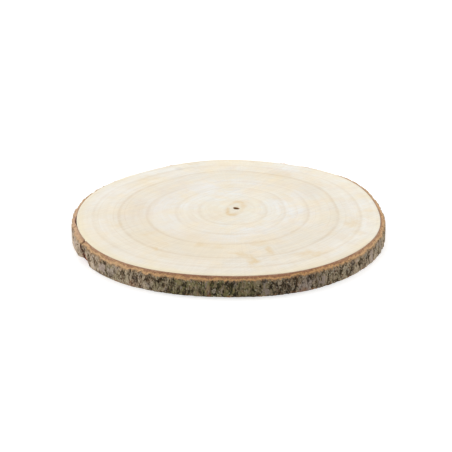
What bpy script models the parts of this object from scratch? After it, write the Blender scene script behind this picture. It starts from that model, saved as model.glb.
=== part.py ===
"""Wood log slice: a sawn round of pale timber inside its ring of bark.

Metres, +Z up. The slice lies flat with its underside on z = 0. The origin is the middle of
its box there, +X is to the right and +Y is away from the viewer. Both solids follow one
closed outline, a circle with a few waves in its radius, given as a radius for each angle.
"""
import math
from typing import NamedTuple

import bmesh
import bpy
from mathutils import Vector, noise

# Driving dimensions of the slice
THICKNESS = 0.0206
WOOD_RADIUS = 0.1582
BARK_THICKNESS = 0.0060
JOINT_GAP = 0.0003

# Waves round the outline: count, cosine share and sine share of the mean radius
OUTLINE_WAVES = (
    (2, 0.0037, 0.0119),
    (3, -0.0072, -0.0061),
    (4, -0.0054, 0.0009),
    (5, -0.0029, 0.0040),
    (6, -0.0024, -0.0050),
    (7, 0.0003, -0.0032),
)
# Where the outline's own centre lies, so that the box is centred on the origin
OUTLINE_CENTRE = Vector((0.0015, -0.0022, 0.0))
WOOD_STATIONS = 300

# Hollow pith: a slim channel that runs through the wood and narrows downwards
PITH_PLACE = Vector((0.0082, 0.0110, 0.0))
PITH_TOP_RADIUS = 0.0032
PITH_FOOT_RADIUS = 0.0026
PITH_SIDES = 14
PITH_SQUASH = 0.72
PITH_LEAN = math.radians(140.0)
CUTTER_OVERHANG = 0.002

# Broken upper edge of the bark: it slopes down outwards from the sawn face, steeply over the
# dark inner bark and more gently over the pale cork. It drops less round one side of the slice
CUT_DROP = 0.0035
CUT_DROP_CHANGE = 0.0007
CUT_DROP_SCALE = 0.016
SHALLOW_CUT_RISE = 0.0011
SHALLOW_CUT_ANGLE = math.radians(75.0)
INNER_LIP_DROP = 0.0003
INNER_BARK_WIDTH_SHARE = 0.43
INNER_BARK_DROP_SHARE = 0.58
LOWER_EDGE_EASE = 0.0010
THINNEST_BARK = 0.0008

# Sections of the bark round the rim, closer together at the cracks, and the levels at which the
# outer face has points, as shares of the broken edge's height
BARK_STATIONS = 548
CRACK_ZONE_BEFORE = 0.0036
CRACK_ZONE_AFTER = 0.0040
CRACK_STATION_PITCH = 0.0008
WALL_LEVELS = (0.84, 0.62, 0.40, 0.17)

# Furrows and plates of the bark's outer face
PLATE_SIZE = 0.0080
PLATE_STRETCH = 0.50
FURROW_WIDTH = 0.24
FURROW_DEPTH = 0.0016
SWELL_SIZE = 0.022
SWELL_DEPTH = 0.0007
NOISE_PLACE = Vector((3.7, 1.9, 8.3))

# Slit where the bark has come away from the wood
SLIT_ANGLE = math.radians(187.0)
SLIT_HALF_LENGTH = 0.0125
SLIT_WIDTH = 0.0016
SLIT_DEPTH = 0.0070


class Crack(NamedTuple):
    """Crack through the bark's upper edge that runs down its outer face."""

    angle: float  # where it meets the edge
    lean: float  # how far round the rim it has moved at the foot
    half_width: float
    depth: float  # into the outer face
    edge_drop: float  # notch in the broken upper edge
    reach: float  # how far down the outer face it goes


CRACKS = (
    Crack(math.radians(206.0), 0.0, 0.0018, 0.0038, 0.0036, 0.030),
    Crack(math.radians(191.6), 0.0012, 0.0014, 0.0024, 0.0028, 0.009),
)


class Loss(NamedTuple):
    """Stretch at the foot of the bark where its outer part has broken away, or stands fuller."""

    angle: float
    half_length: float  # along the rim
    height: float  # above the underside
    depth: float  # at the underside, less than nothing where the bark stands fuller
    steepness: float  # how sharply its two ends begin


LOSSES = (
    Loss(math.radians(207.4), 0.0155, 0.0115, 0.0058, 1.0),
    Loss(math.radians(197.5), 0.0215, 0.0400, -0.0018, 2.5),
    Loss(math.radians(225.0), 0.0330, 0.0400, -0.0026, 2.5),
)

# Linear colours: the sawn wood and the weathered bark
WOOD_COLOUR = (0.855, 0.791, 0.665, 1.0)
WOOD_ROUGHNESS = 0.62
BARK_COLOUR = (0.135, 0.104, 0.060, 1.0)
BARK_ROUGHNESS = 0.92

# Shading breaks where two faces meet at more than this angle
SHARP_ANGLE = math.radians(35.0)


def wood_radius(angle):
    """Radius of the sawn wood at an angle round the outline's centre."""
    share = 1.0
    for count, cosine, sine in OUTLINE_WAVES:
        share += cosine * math.cos(count * angle) + sine * math.sin(count * angle)
    return WOOD_RADIUS * share


def outline_point(angle, radius, height):
    """Point at an angle and radius round the outline's centre."""
    spoke = Vector((math.cos(angle), math.sin(angle), 0.0))
    return OUTLINE_CENTRE + spoke * radius + Vector((0.0, 0.0, height))


def arc_distance(angle, other):
    """Signed distance round the rim from one angle to another."""
    turn = (other - angle + math.pi) % math.tau - math.pi
    return turn * WOOD_RADIUS


def furrow_depth(angle, height):
    """How far the outer face stands in from the bark's full thickness."""
    place = Vector((
        WOOD_RADIUS * math.cos(angle),
        WOOD_RADIUS * math.sin(angle),
        height * PLATE_STRETCH,
    ))
    plate = abs(noise.noise(place / PLATE_SIZE + NOISE_PLACE))
    swell = 0.5 + 0.5 * noise.noise(place / SWELL_SIZE + NOISE_PLACE)
    furrow = max(0.0, 1.0 - plate / FURROW_WIDTH)
    return FURROW_DEPTH * furrow + SWELL_DEPTH * swell


def crack_share(crack, angle, height):
    """Depth of a crack there, from 0 outside it to 1 on its line."""
    line = crack.lean * (1.0 - height / THICKNESS)
    across = abs(arc_distance(crack.angle, angle) - line)
    side = max(0.0, 1.0 - across / crack.half_width)
    above_foot = height - THICKNESS + crack.reach
    return side * min(1.0, max(0.0, 2.0 * above_foot / crack.reach))


def foot_loss(angle, height):
    """How far the outer face has been lost near the foot."""
    lost = 0.0
    for loss in LOSSES:
        along = 1.0 - abs(arc_distance(loss.angle, angle)) / loss.half_length
        up = 1.0 - height / loss.height
        lost += loss.depth * min(1.0, loss.steepness * max(0.0, along)) * max(0.0, up)
    return lost


def cut_drop(angle):
    """How far the outer end of the broken edge lies below the sawn face."""
    place = Vector((math.cos(angle), math.sin(angle), 0.0)) * (WOOD_RADIUS / CUT_DROP_SCALE)
    rise = SHALLOW_CUT_RISE * max(0.0, math.cos(angle - SHALLOW_CUT_ANGLE))
    return CUT_DROP - rise + CUT_DROP_CHANGE * noise.noise(place + NOISE_PLACE)


def slit_width(angle):
    """Width of the slit between bark and wood."""
    share = 1.0 - (arc_distance(SLIT_ANGLE, angle) / SLIT_HALF_LENGTH) ** 2
    return SLIT_WIDTH * max(0.0, share)


def station_angles():
    """Angles of the bark's stations: even round the rim and closer at the cracks."""
    angles = []
    for step in range(BARK_STATIONS):
        angle = math.tau * step / BARK_STATIONS
        distances = [arc_distance(crack.angle, angle) for crack in CRACKS]
        if not any(-CRACK_ZONE_BEFORE < d < CRACK_ZONE_AFTER for d in distances):
            angles.append(angle)
    for crack in CRACKS:
        steps = int((CRACK_ZONE_BEFORE + CRACK_ZONE_AFTER) / CRACK_STATION_PITCH)
        for step in range(steps):
            arc = (step + 0.5) * CRACK_STATION_PITCH - CRACK_ZONE_BEFORE
            angles.append(crack.angle + arc / WOOD_RADIUS)
    return sorted(angles)


def bark_profile(angle):
    """Section of the bark at an angle, as radius and height, up the inside and down the face."""
    inner = wood_radius(angle) + JOINT_GAP
    outer = wood_radius(angle) + BARK_THICKNESS
    notch = sum(crack.edge_drop * crack_share(crack, angle, THICKNESS) for crack in CRACKS)
    edge = THICKNESS - cut_drop(angle) - notch
    lip = THICKNESS - INNER_LIP_DROP - notch

    def face(height):
        cracks = sum(crack.depth * crack_share(crack, angle, height) for crack in CRACKS)
        sunk = furrow_depth(angle, height) + foot_loss(angle, height) + cracks
        return min(outer, max(inner + THINNEST_BARK, outer - sunk))

    middle = inner + INNER_BARK_WIDTH_SHARE * (face(edge) - inner)
    section = [
        (inner, 0.0),
        (inner, THICKNESS - SLIT_DEPTH),
        (inner + slit_width(angle), lip),
        (middle, lip + INNER_BARK_DROP_SHARE * (edge - lip)),
        (face(edge), edge),
    ]
    section += [(face(level * edge), level * edge) for level in WALL_LEVELS]
    section.append((max(inner + THINNEST_BARK, face(0.0) - LOWER_EDGE_EASE), 0.0))
    return section


def principled(name, colour, roughness):
    """Material with one Principled BSDF."""
    material = bpy.data.materials.new(name)
    material.use_nodes = True
    material.diffuse_color = colour
    shader = material.node_tree.nodes["Principled BSDF"]
    shader.inputs["Base Color"].default_value = colour
    shader.inputs["Roughness"].default_value = roughness
    shader.inputs["Metallic"].default_value = 0.0
    return material


def add_object(name, shape, material):
    """Object made from a bmesh, with smooth shading that breaks at sharp edges."""
    bmesh.ops.recalc_face_normals(shape, faces=shape.faces)
    mesh = bpy.data.meshes.new(name)
    shape.to_mesh(mesh)
    shape.free()
    mesh.shade_smooth()
    mesh.set_sharp_from_angle(angle=SHARP_ANGLE)
    if material is not None:
        mesh.materials.append(material)
    item = bpy.data.objects.new(name, mesh)
    bpy.context.scene.collection.objects.link(item)
    return item


def extruded(points, height):
    """Closed prism that stands on a flat outline."""
    shape = bmesh.new()
    foot = shape.faces.new([shape.verts.new(point) for point in points])
    grown = bmesh.ops.extrude_face_region(shape, geom=[foot])
    top = [item for item in grown["geom"] if isinstance(item, bmesh.types.BMVert)]
    bmesh.ops.translate(shape, verts=top, vec=(0.0, 0.0, height))
    return shape


def pith_cutter():
    """Oval tapered cutter of the pith channel, longer than the slice at both ends."""
    shape = bmesh.new()
    rings = []
    for radius, height in (
        (PITH_FOOT_RADIUS, -CUTTER_OVERHANG),
        (PITH_TOP_RADIUS, THICKNESS + CUTTER_OVERHANG),
    ):
        ring = []
        for side in range(PITH_SIDES):
            turn = math.tau * side / PITH_SIDES
            along = radius * math.cos(turn)
            across = radius * PITH_SQUASH * math.sin(turn)
            offset = Vector((
                along * math.cos(PITH_LEAN) - across * math.sin(PITH_LEAN),
                along * math.sin(PITH_LEAN) + across * math.cos(PITH_LEAN),
                height,
            ))
            ring.append(shape.verts.new(PITH_PLACE + offset))
        rings.append(ring)
    lower, upper = rings
    shape.faces.new(lower)
    shape.faces.new(upper)
    for side in range(PITH_SIDES):
        after = (side + 1) % PITH_SIDES
        shape.faces.new((lower[side], lower[after], upper[after], upper[side]))
    cutter = add_object("pith_cutter", shape, None)
    cutter.hide_render = True
    cutter.display_type = "WIRE"
    return cutter


def make_wood():
    """Sawn disc of wood with its hollow pith."""
    points = []
    for step in range(WOOD_STATIONS):
        angle = math.tau * step / WOOD_STATIONS
        points.append(outline_point(angle, wood_radius(angle), 0.0))
    material = principled("sawn_wood", WOOD_COLOUR, WOOD_ROUGHNESS)
    wood = add_object("wood", extruded(points, THICKNESS), material)
    hollow = wood.modifiers.new("pith_hollow", "BOOLEAN")
    hollow.operation = "DIFFERENCE"
    hollow.solver = "EXACT"
    hollow.object = pith_cutter()
    return wood


def make_bark():
    """Ring of bark: one closed band of sections that join station to station."""
    shape = bmesh.new()
    rings = []
    for angle in station_angles():
        section = bark_profile(angle)
        rings.append([shape.verts.new(outline_point(angle, r, z)) for r, z in section])
    for index, ring in enumerate(rings):
        following = rings[(index + 1) % len(rings)]
        for row in range(len(ring)):
            after = (row + 1) % len(ring)
            shape.faces.new((ring[row], following[row], following[after], ring[after]))
    return add_object("bark", shape, principled("weathered_bark", BARK_COLOUR, BARK_ROUGHNESS))


def clear_scene():
    """Remove the objects that the scene starts with."""
    for item in list(bpy.data.objects):
        bpy.data.objects.remove(item, do_unlink=True)


clear_scene()
make_wood()
make_bark()
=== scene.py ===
"""Looks of the wood log slice: sawn face, growth rings, bark, lichen and the studio round it.

Metres, +Z up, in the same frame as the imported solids. The sawn wood and the ring of bark are
built again here as fine meshes on the outline of the solids, and small pieces that the solids
leave out are added: loose bark scales, lichen crusts and torn cork fibres.
"""
from __future__ import annotations

import logging
import math
import random
from dataclasses import dataclass
from enum import Enum

import bpy
import numpy as np
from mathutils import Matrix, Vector, noise

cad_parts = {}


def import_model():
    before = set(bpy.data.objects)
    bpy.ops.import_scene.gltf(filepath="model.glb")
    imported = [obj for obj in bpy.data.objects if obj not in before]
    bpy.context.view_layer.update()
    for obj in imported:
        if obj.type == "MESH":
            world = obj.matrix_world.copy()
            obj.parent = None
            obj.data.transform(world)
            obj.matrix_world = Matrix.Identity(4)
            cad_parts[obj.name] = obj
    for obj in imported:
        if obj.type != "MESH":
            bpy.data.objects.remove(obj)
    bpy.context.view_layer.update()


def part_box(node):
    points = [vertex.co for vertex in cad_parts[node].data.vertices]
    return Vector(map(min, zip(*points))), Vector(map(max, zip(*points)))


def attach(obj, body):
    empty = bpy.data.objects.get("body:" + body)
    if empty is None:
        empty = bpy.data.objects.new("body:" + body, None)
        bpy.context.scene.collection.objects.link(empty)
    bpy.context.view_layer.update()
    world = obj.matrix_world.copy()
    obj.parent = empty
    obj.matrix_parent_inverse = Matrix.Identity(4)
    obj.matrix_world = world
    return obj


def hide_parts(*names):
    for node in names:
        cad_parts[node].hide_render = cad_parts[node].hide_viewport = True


LOG = logging.getLogger("wood_log_slice")
MM = 0.001
BODY = "root"
# Shift of all noise, which would be 0 at the slice's middle without it
NOISE_PLACE = (3.7, 1.9, 8.3)

Array = np.ndarray
Socket = bpy.types.NodeSocket
Pair = tuple[float, float]
Colour = tuple[float, float, float]
Place = tuple[float, float, float]
Stops = tuple[tuple[float, Colour], ...]
# Stretches of the rim: middle and half length in degrees, and weight
Humps = tuple[tuple[float, float, float], ...]


def linear(red: float, green: float, blue: float) -> tuple[float, float, float, float]:
    """Turn an 8-bit screen colour into a linear one.

    Args:
        red: Red from 0 to 255.
        green: Green from 0 to 255.
        blue: Blue from 0 to 255.

    Returns:
        The linear colour with an alpha of 1.
    """
    def one(value: float) -> float:
        share = value / 255.0
        return share / 12.92 if share <= 0.04045 else ((share + 0.055) / 1.055) ** 2.4

    return one(red), one(green), one(blue), 1.0


def smooth_step(low: float, high: float, value: Array) -> Array:
    """Ease from 0 where a value is low to 1 where it is high."""
    share = np.clip((value - low) / (high - low), 0.0, 1.0)
    return share * share * (3.0 - 2.0 * share)


def perlin(places: Array, size: float, shift: float = 0.0) -> Array:
    """Perlin noise at each place.

    Args:
        places: Points, with x, y and z in the last axis.
        size: Size of the noise's features, in metres.
        shift: Moves the pattern, so that two layers differ.

    Returns:
        Noise from about -0.7 to 0.7, in the shape of the points.
    """
    scaled = places.reshape(-1, 3) / size + np.array(NOISE_PLACE) + shift
    values = [noise.noise(Vector(point)) for point in scaled]
    return np.array(values).reshape(places.shape[:-1])


@dataclass(frozen=True)
class NoiseLayer:
    """Layer of noise. Its features are lower than wide where upward is more than 1."""

    weight: float
    size: float
    shift: float = 0.0
    upward: float = 1.0

    def at(self, places: Array) -> Array:
        """Weighted noise at each place."""
        squashed = places * np.array([1.0, 1.0, self.upward])
        return self.weight * perlin(squashed, self.size, self.shift)


Layers = tuple[NoiseLayer, ...]


def layered(places: Array, layers: Layers) -> Array:
    """Sum of several layers of noise at each place."""
    return sum(layer.at(places) for layer in layers)


@dataclass(frozen=True)
class Outline:
    """Closed outline of the sawn wood: a radius for each angle round its centre."""

    centre: Pair = (0.0015, -0.0022)
    mean_radius: float = 0.1582
    waves: tuple[tuple[int, float, float], ...] = (
        (2, 0.0037, 0.0119),
        (3, -0.0072, -0.0061),
        (4, -0.0054, 0.0009),
        (5, -0.0029, 0.0040),
        (6, -0.0024, -0.0050),
        (7, 0.0003, -0.0032),
    )

    def radius(self, angle: Array) -> Array:
        """Radius of the sawn wood at each angle.

        Args:
            angle: Angles in radians.

        Returns:
            Radii in metres.
        """
        share = np.ones_like(angle)
        for count, cosine, sine in self.waves:
            share = share + cosine * np.cos(count * angle) + sine * np.sin(count * angle)
        return self.mean_radius * share

    def points(self, angle: Array, radius: Array, height: Array) -> Array:
        """Points at angles and radii round the outline's centre.

        Args:
            angle: Angles in radians.
            radius: Radii in metres.
            height: Heights in metres.

        Returns:
            Points, with x, y and z in the last axis.
        """
        angle, radius, height = np.broadcast_arrays(angle, radius, height)
        x = self.centre[0] + radius * np.cos(angle)
        y = self.centre[1] + radius * np.sin(angle)
        return np.stack([x, y, height], axis=-1)

    def arc(self, start: float, angle: Array) -> Array:
        """Signed distance round the rim, from an angle in degrees to others in radians."""
        turn = (angle - math.radians(start) + math.pi) % math.tau - math.pi
        return turn * self.mean_radius

    def from_place(self, place: Pair, spokes: Array) -> Array:
        """Distance from a place inside the outline to the rim, along spokes.

        Args:
            place: Where the spokes start.
            spokes: Angles of the spokes.

        Returns:
            Distances in metres.
        """
        steps = np.linspace(0.0, math.tau, 3600, endpoint=False)
        rim = self.points(steps, self.radius(steps), np.zeros_like(steps))
        across, away = rim[:, 0] - place[0], rim[:, 1] - place[1]
        bearing = np.mod(np.arctan2(away, across), math.tau)
        order = np.argsort(bearing)
        reach = np.hypot(across, away)[order]
        return np.interp(np.mod(spokes, math.tau), bearing[order], reach, period=math.tau)


class MeshPile:
    """Collects many small closed shapes and their values into one mesh."""

    def __init__(self) -> None:
        """Start with nothing in the pile."""
        self.points: list[Array] = []
        self.faces: list[tuple[int, ...]] = []
        self.values: dict[str, list[Array]] = {}
        self.count = 0

    def add(self, points: Array, faces: list[tuple[int, ...]], **values: Array) -> None:
        """Add one shape.

        Args:
            points: Its points, one a row.
            faces: Its faces, as rows of point numbers that start at 0.
            **values: Named values for each point.
        """
        self.points.append(points)
        self.faces.extend(tuple(self.count + index for index in face) for face in faces)
        for name, value in values.items():
            self.values.setdefault(name, []).append(np.broadcast_to(value, len(points)))
        self.count += len(points)

    def build(self, name: str) -> bpy.types.Object:
        """Make the object.

        Args:
            name: Name of the piece.

        Returns:
            The new mesh object.
        """
        mesh = bpy.data.meshes.new(name)
        mesh.from_pydata(np.concatenate(self.points).tolist(), [], self.faces)
        for label, parts in self.values.items():
            layer = mesh.attributes.new(label, "FLOAT", "POINT")
            layer.data.foreach_set("value", np.concatenate(parts).astype(np.float32))
        mesh.shade_smooth()
        item = bpy.data.objects.new(name, mesh)
        bpy.context.scene.collection.objects.link(item)
        return item


def closed_band(points: Array) -> list[tuple[int, ...]]:
    """Faces of a band that closes round the rim and round its own section.

    Args:
        points: Grid of points: station, place on the section, x y z.

    Returns:
        Quads that face out, for a section that runs up the inside and down the outside.
    """
    stations, rows = points.shape[:2]
    index = np.arange(stations * rows).reshape(stations, rows)
    following = np.roll(index, -1, axis=0)
    quads = np.stack([
        index,
        np.roll(index, -1, axis=1),
        np.roll(following, -1, axis=1),
        following,
    ], axis=-1)
    return [tuple(quad) for quad in quads.reshape(-1, 4).tolist()]


class Graph:
    """Adds nodes to one shader tree and joins them."""

    def __init__(self, tree: bpy.types.NodeTree) -> None:
        """Work on the tree of a material, a world or a group."""
        self.tree = tree

    def node(self, kind: str, **settings: object) -> bpy.types.Node:
        """Add a node.

        Args:
            kind: Node type, such as ShaderNodeMath.
            **settings: Properties of the node to set.

        Returns:
            The new node.
        """
        made = self.tree.nodes.new(kind)
        for name, value in settings.items():
            setattr(made, name, value)
        return made

    def feed(self, target: Socket, value: object) -> None:
        """Link a socket or set a plain value.

        Args:
            target: Input socket.
            value: Output socket, number or colour.
        """
        if isinstance(value, Socket):
            self.tree.links.new(value, target)
        elif value is not None:
            target.default_value = value

    def math(self, operation: str, first: object, second: object = None,
             third: object = None, clamp: bool = False) -> Socket:
        """Work out a value with a Math node.

        Args:
            operation: Math operation.
            first: First value.
            second: Second value, if there is one.
            third: Third value, if there is one.
            clamp: Whether to keep the result from 0 to 1.

        Returns:
            The result's socket.
        """
        made = self.node("ShaderNodeMath", operation=operation, use_clamp=clamp)
        for target, value in zip(made.inputs, (first, second, third)):
            self.feed(target, value)
        return made.outputs[0]

    def times(self, first: object, second: object, clamp: bool = False) -> Socket:
        """Multiply two values."""
        return self.math("MULTIPLY", first, second, clamp=clamp)

    def weighed(self, value: object, weight: object, base: object, clamp: bool = False) -> Socket:
        """Add a value to a base, with a weight."""
        return self.math("MULTIPLY_ADD", value, weight, base, clamp)

    def swayed(self, base: object, mask: object, weight: float, clamp: bool = False) -> Socket:
        """Move a value up and down with a mask, which leaves it alone at 0.5."""
        return self.weighed(self.math("SUBTRACT", mask, 0.5), weight, base, clamp)

    def spread(self, value: object, low: float, high: float,
               to_low: float = 0.0, to_high: float = 1.0) -> Socket:
        """Map a range of values smoothly onto another.

        Args:
            value: Value to map.
            low: Lowest value that counts.
            high: Highest value that counts.
            to_low: Result at low.
            to_high: Result at high.

        Returns:
            The mapped value's socket.
        """
        made = self.node("ShaderNodeMapRange", interpolation_type="SMOOTHSTEP")
        for target, number in zip(made.inputs, (value, low, high, to_low, to_high)):
            self.feed(target, number)
        return made.outputs[0]

    def mix(self, share: object, under: object, over: object, blend: str = "MIX") -> Socket:
        """Lay one colour over another.

        Args:
            share: How much of the upper colour shows.
            under: Lower colour.
            over: Upper colour.
            blend: Blend type.

        Returns:
            The mixed colour's socket.
        """
        made = self.node("ShaderNodeMix", data_type="RGBA", blend_type=blend)
        self.feed(made.inputs["Factor"], share)
        self.feed(made.inputs[6], under)
        self.feed(made.inputs[7], over)
        return made.outputs[2]

    def two_tone(self, share: object, under: Colour, over: Colour) -> Socket:
        """Mix two plain colours, given as 8-bit screen colours."""
        return self.mix(share, linear(*under), linear(*over))

    def ramp(self, value: object, stops: Stops) -> Socket:
        """Read a colour from a ramp.

        Args:
            value: Place on the ramp.
            stops: Places and 8-bit screen colours, in order.

        Returns:
            The colour's socket.
        """
        made = self.node("ShaderNodeValToRGB")
        elements = made.color_ramp.elements
        while len(elements) < len(stops):
            elements.new(0.5)
        for element, (place, colour) in zip(elements, stops):
            element.position = place
            element.color = linear(*colour)
        self.feed(made.inputs[0], value)
        return made.outputs[0]

    def scaled(self, colour: object, factor: object) -> Socket:
        """Make a colour lighter or darker.

        Args:
            colour: Colour to change.
            factor: What to multiply it by.

        Returns:
            The changed colour's socket.
        """
        made = self.node("ShaderNodeVectorMath", operation="SCALE")
        self.feed(made.inputs[0], colour)
        self.feed(made.inputs["Scale"], factor)
        return made.outputs[0]

    def value(self, name: str) -> Socket:
        """Read a named value that the mesh holds for each point."""
        return self.node("ShaderNodeAttribute", attribute_name=name).outputs["Fac"]

    def place(self) -> Socket:
        """Place on the object, in metres."""
        return self.node("ShaderNodeTexCoord").outputs["Object"]

    def split(self, vector: object) -> list[Socket]:
        """Read the x, y and z of a vector."""
        made = self.node("ShaderNodeSeparateXYZ")
        self.feed(made.inputs[0], vector)
        return list(made.outputs)

    def joined(self, *parts: object) -> Socket:
        """Make a vector of its x, y and z."""
        made = self.node("ShaderNodeCombineXYZ")
        for target, part in zip(made.inputs, parts):
            self.feed(target, part)
        return made.outputs[0]

    def stretched(self, vector: object, scale: tuple[float, float, float],
                  turn: float = 0.0) -> Socket:
        """Turn a vector about Z and scale it.

        Args:
            vector: Vector to change.
            scale: Scale along x, y and z, after the turn.
            turn: Turn about Z, in radians.

        Returns:
            The changed vector's socket.
        """
        turned = self.node("ShaderNodeVectorRotate", rotation_type="Z_AXIS")
        self.feed(turned.inputs["Vector"], vector)
        turned.inputs["Angle"].default_value = turn
        made = self.node("ShaderNodeVectorMath", operation="MULTIPLY")
        self.feed(made.inputs[0], turned.outputs[0])
        made.inputs[1].default_value = scale
        return made.outputs[0]

    def group(self, tree: bpy.types.NodeTree, **values: object) -> bpy.types.Node:
        """Place a node group.

        Args:
            tree: The group's tree.
            **values: Values for its inputs, with underscores for spaces.

        Returns:
            The group's node.
        """
        made = self.node("ShaderNodeGroup", node_tree=tree)
        for name, value in values.items():
            self.feed(made.inputs[name.replace("_", " ")], value)
        return made


class Effects:
    """Node groups that more than one material uses."""

    def __init__(self) -> None:
        """Build each group once."""
        self.blotches = self._blotches()
        self.pits = self._pits()
        self.fibres = self._fibres()

    @staticmethod
    def _start(name: str, **inputs: float) -> tuple[Graph, dict, bpy.types.Node]:
        """Start a group that reads a place and named values, and puts out a mask.

        Args:
            name: Name of the group.
            **inputs: First value of each named input.

        Returns:
            The graph, the input sockets by name and the output node.
        """
        tree = bpy.data.node_groups.new(name, "ShaderNodeTree")
        tree.interface.new_socket("Place", in_out="INPUT", socket_type="NodeSocketVector")
        for label, first in inputs.items():
            socket = tree.interface.new_socket(label, in_out="INPUT", socket_type="NodeSocketFloat")
            socket.default_value = first
        tree.interface.new_socket("Mask", in_out="OUTPUT", socket_type="NodeSocketFloat")
        graph = Graph(tree)
        source = graph.node("NodeGroupInput")
        result = graph.node("NodeGroupOutput")
        return graph, dict(source.outputs.items()), result

    def _blotches(self) -> bpy.types.NodeTree:
        """Soft irregular patches: how strongly each place belongs to one.

        Returns:
            The group's tree.
        """
        graph, inputs, result = self._start(
            "soft_blotches", Size=0.01, Ragged=0.5, Low=0.4, High=0.6)
        made = graph.node("ShaderNodeTexNoise")
        graph.feed(made.inputs["Vector"], inputs["Place"])
        graph.feed(made.inputs["Scale"], graph.math("DIVIDE", 1.0, inputs["Size"]))
        made.inputs["Detail"].default_value = 4.0
        graph.feed(made.inputs["Roughness"], inputs["Ragged"])
        mask = graph.spread(made.outputs["Fac"], inputs["Low"], inputs["High"])
        graph.feed(result.inputs["Mask"], mask)
        return graph.tree

    def _pits(self) -> bpy.types.NodeTree:
        """Small round pits, such as pores: 1 in the middle of a pit.

        Returns:
            The group's tree.
        """
        graph, inputs, result = self._start("small_pits", Size=0.001, Width=0.3)
        made = graph.node("ShaderNodeTexVoronoi")
        graph.feed(made.inputs["Vector"], inputs["Place"])
        graph.feed(made.inputs["Scale"], graph.math("DIVIDE", 1.0, inputs["Size"]))
        reach = graph.math("DIVIDE", made.outputs["Distance"], inputs["Width"])
        graph.feed(result.inputs["Mask"], graph.math("SUBTRACT", 1.0, reach, clamp=True))
        return graph.tree

    def _fibres(self) -> bpy.types.NodeTree:
        """Streaks of two widths in a vector that is already stretched along them.

        Returns:
            The group's tree.
        """
        graph, inputs, result = self._start("fibre_streaks", Coarse=1.0, Fine=4.0)
        parts = []
        for scale, detail in (("Coarse", 2.0), ("Fine", 3.0)):
            made = graph.node("ShaderNodeTexNoise")
            graph.feed(made.inputs["Vector"], inputs["Place"])
            graph.feed(made.inputs["Scale"], inputs[scale])
            made.inputs["Detail"].default_value = detail
            parts.append(made.outputs["Fac"])
        both = graph.weighed(parts[0], 0.55, graph.times(parts[1], 0.45))
        graph.feed(result.inputs["Mask"], both)
        return graph.tree


@dataclass(frozen=True)
class Patches:
    """Soft patches: their size, the noise where they start and where they are full."""

    size: float
    low: float
    high: float
    ragged: float = 0.6


@dataclass(frozen=True)
class Tint:
    """Colour to tint with, and how strong the tint is where its mask is full."""

    colour: Colour
    weight: float


class Surface(Graph):
    """Shader graph of one material, with the shared effects at hand."""

    def __init__(self, name: str, effects: Effects) -> None:
        """Start a material that may use the shared node groups."""
        self.material = bpy.data.materials.new(name)
        self.material.use_nodes = True
        super().__init__(self.material.node_tree)
        self.effects = effects
        self.shader = self.tree.nodes["Principled BSDF"]
        self.here = self.place()

    def blotches(self, patches: Patches, place: object = None) -> Socket:
        """Soft irregular patches.

        Args:
            patches: Their size and edges.
            place: Vector to read, or none for the place on the object.

        Returns:
            How strongly each place belongs to a patch.
        """
        made = self.group(self.effects.blotches, Place=place or self.here, Size=patches.size,
                          Ragged=patches.ragged, Low=patches.low, High=patches.high)
        return made.outputs["Mask"]

    def pits(self, size: float, width: float, place: object = None) -> Socket:
        """Small round pits a size apart, where width is a share of that size."""
        made = self.group(self.effects.pits, Place=place or self.here, Size=size, Width=width)
        return made.outputs["Mask"]

    def fibres(self, coarse: float, fine: float, place: object = None) -> Socket:
        """Streaks of two widths, from a coarse and a fine noise scale."""
        made = self.group(self.effects.fibres, Place=place or self.here, Coarse=coarse, Fine=fine)
        return made.outputs["Mask"]

    def tinted(self, under: object, share: object, tint: Tint) -> Socket:
        """Tint a colour where a mask from 0 to 1 shows."""
        return self.mix(self.times(share, tint.weight), under, linear(*tint.colour))

    def finish(self, colour: object, roughness: object, specular: float, height: object,
               strength: float, distance: float) -> bpy.types.Material:
        """Feed the shader and end the material.

        Args:
            colour: Base colour.
            roughness: Roughness.
            specular: Specular level.
            height: Height of the fine relief, from 0 to 1.
            strength: How strongly that relief shows.
            distance: Its depth in metres.

        Returns:
            The material.
        """
        self.feed(self.shader.inputs["Base Color"], colour)
        self.feed(self.shader.inputs["Roughness"], roughness)
        self.shader.inputs["Specular IOR Level"].default_value = specular
        bump = self.node("ShaderNodeBump")
        bump.inputs["Strength"].default_value = strength
        bump.inputs["Distance"].default_value = distance
        self.feed(bump.inputs["Height"], height)
        self.feed(self.shader.inputs["Normal"], bump.outputs[0])
        return self.material


class StainKind(Enum):
    """Colour of a stain on the sawn face."""

    AMBER = "amber"
    BROWN = "brown"
    GREY = "grey"


@dataclass(frozen=True)
class Stain:
    """Soft oval patch of colour on the sawn face. Its sizes are in mm, its lean in degrees."""

    across: float
    away: float
    half_length: float
    half_width: float
    lean: float
    strength: float = 1.0
    kind: StainKind = StainKind.AMBER
    soft_edge: Pair = (0.15, 1.35)

    def reach(self, x: Array, y: Array) -> Array:
        """How far out from the stain's middle each place lies.

        Args:
            x: Places to the right of the outline's centre, in mm.
            y: Places beyond it, in mm.

        Returns:
            Distances, where 1 is the line of the oval.
        """
        turn = math.radians(self.lean)
        along = (x - self.across) * math.cos(turn) + (y - self.away) * math.sin(turn)
        side = (y - self.away) * math.cos(turn) - (x - self.across) * math.sin(turn)
        return np.hypot(along / self.half_length, side / self.half_width)

    def share(self, x: Array, y: Array) -> Array:
        """How strongly the stain shows at each place."""
        return self.strength * (1.0 - smooth_step(*self.soft_edge, self.reach(x, y)))


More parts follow.
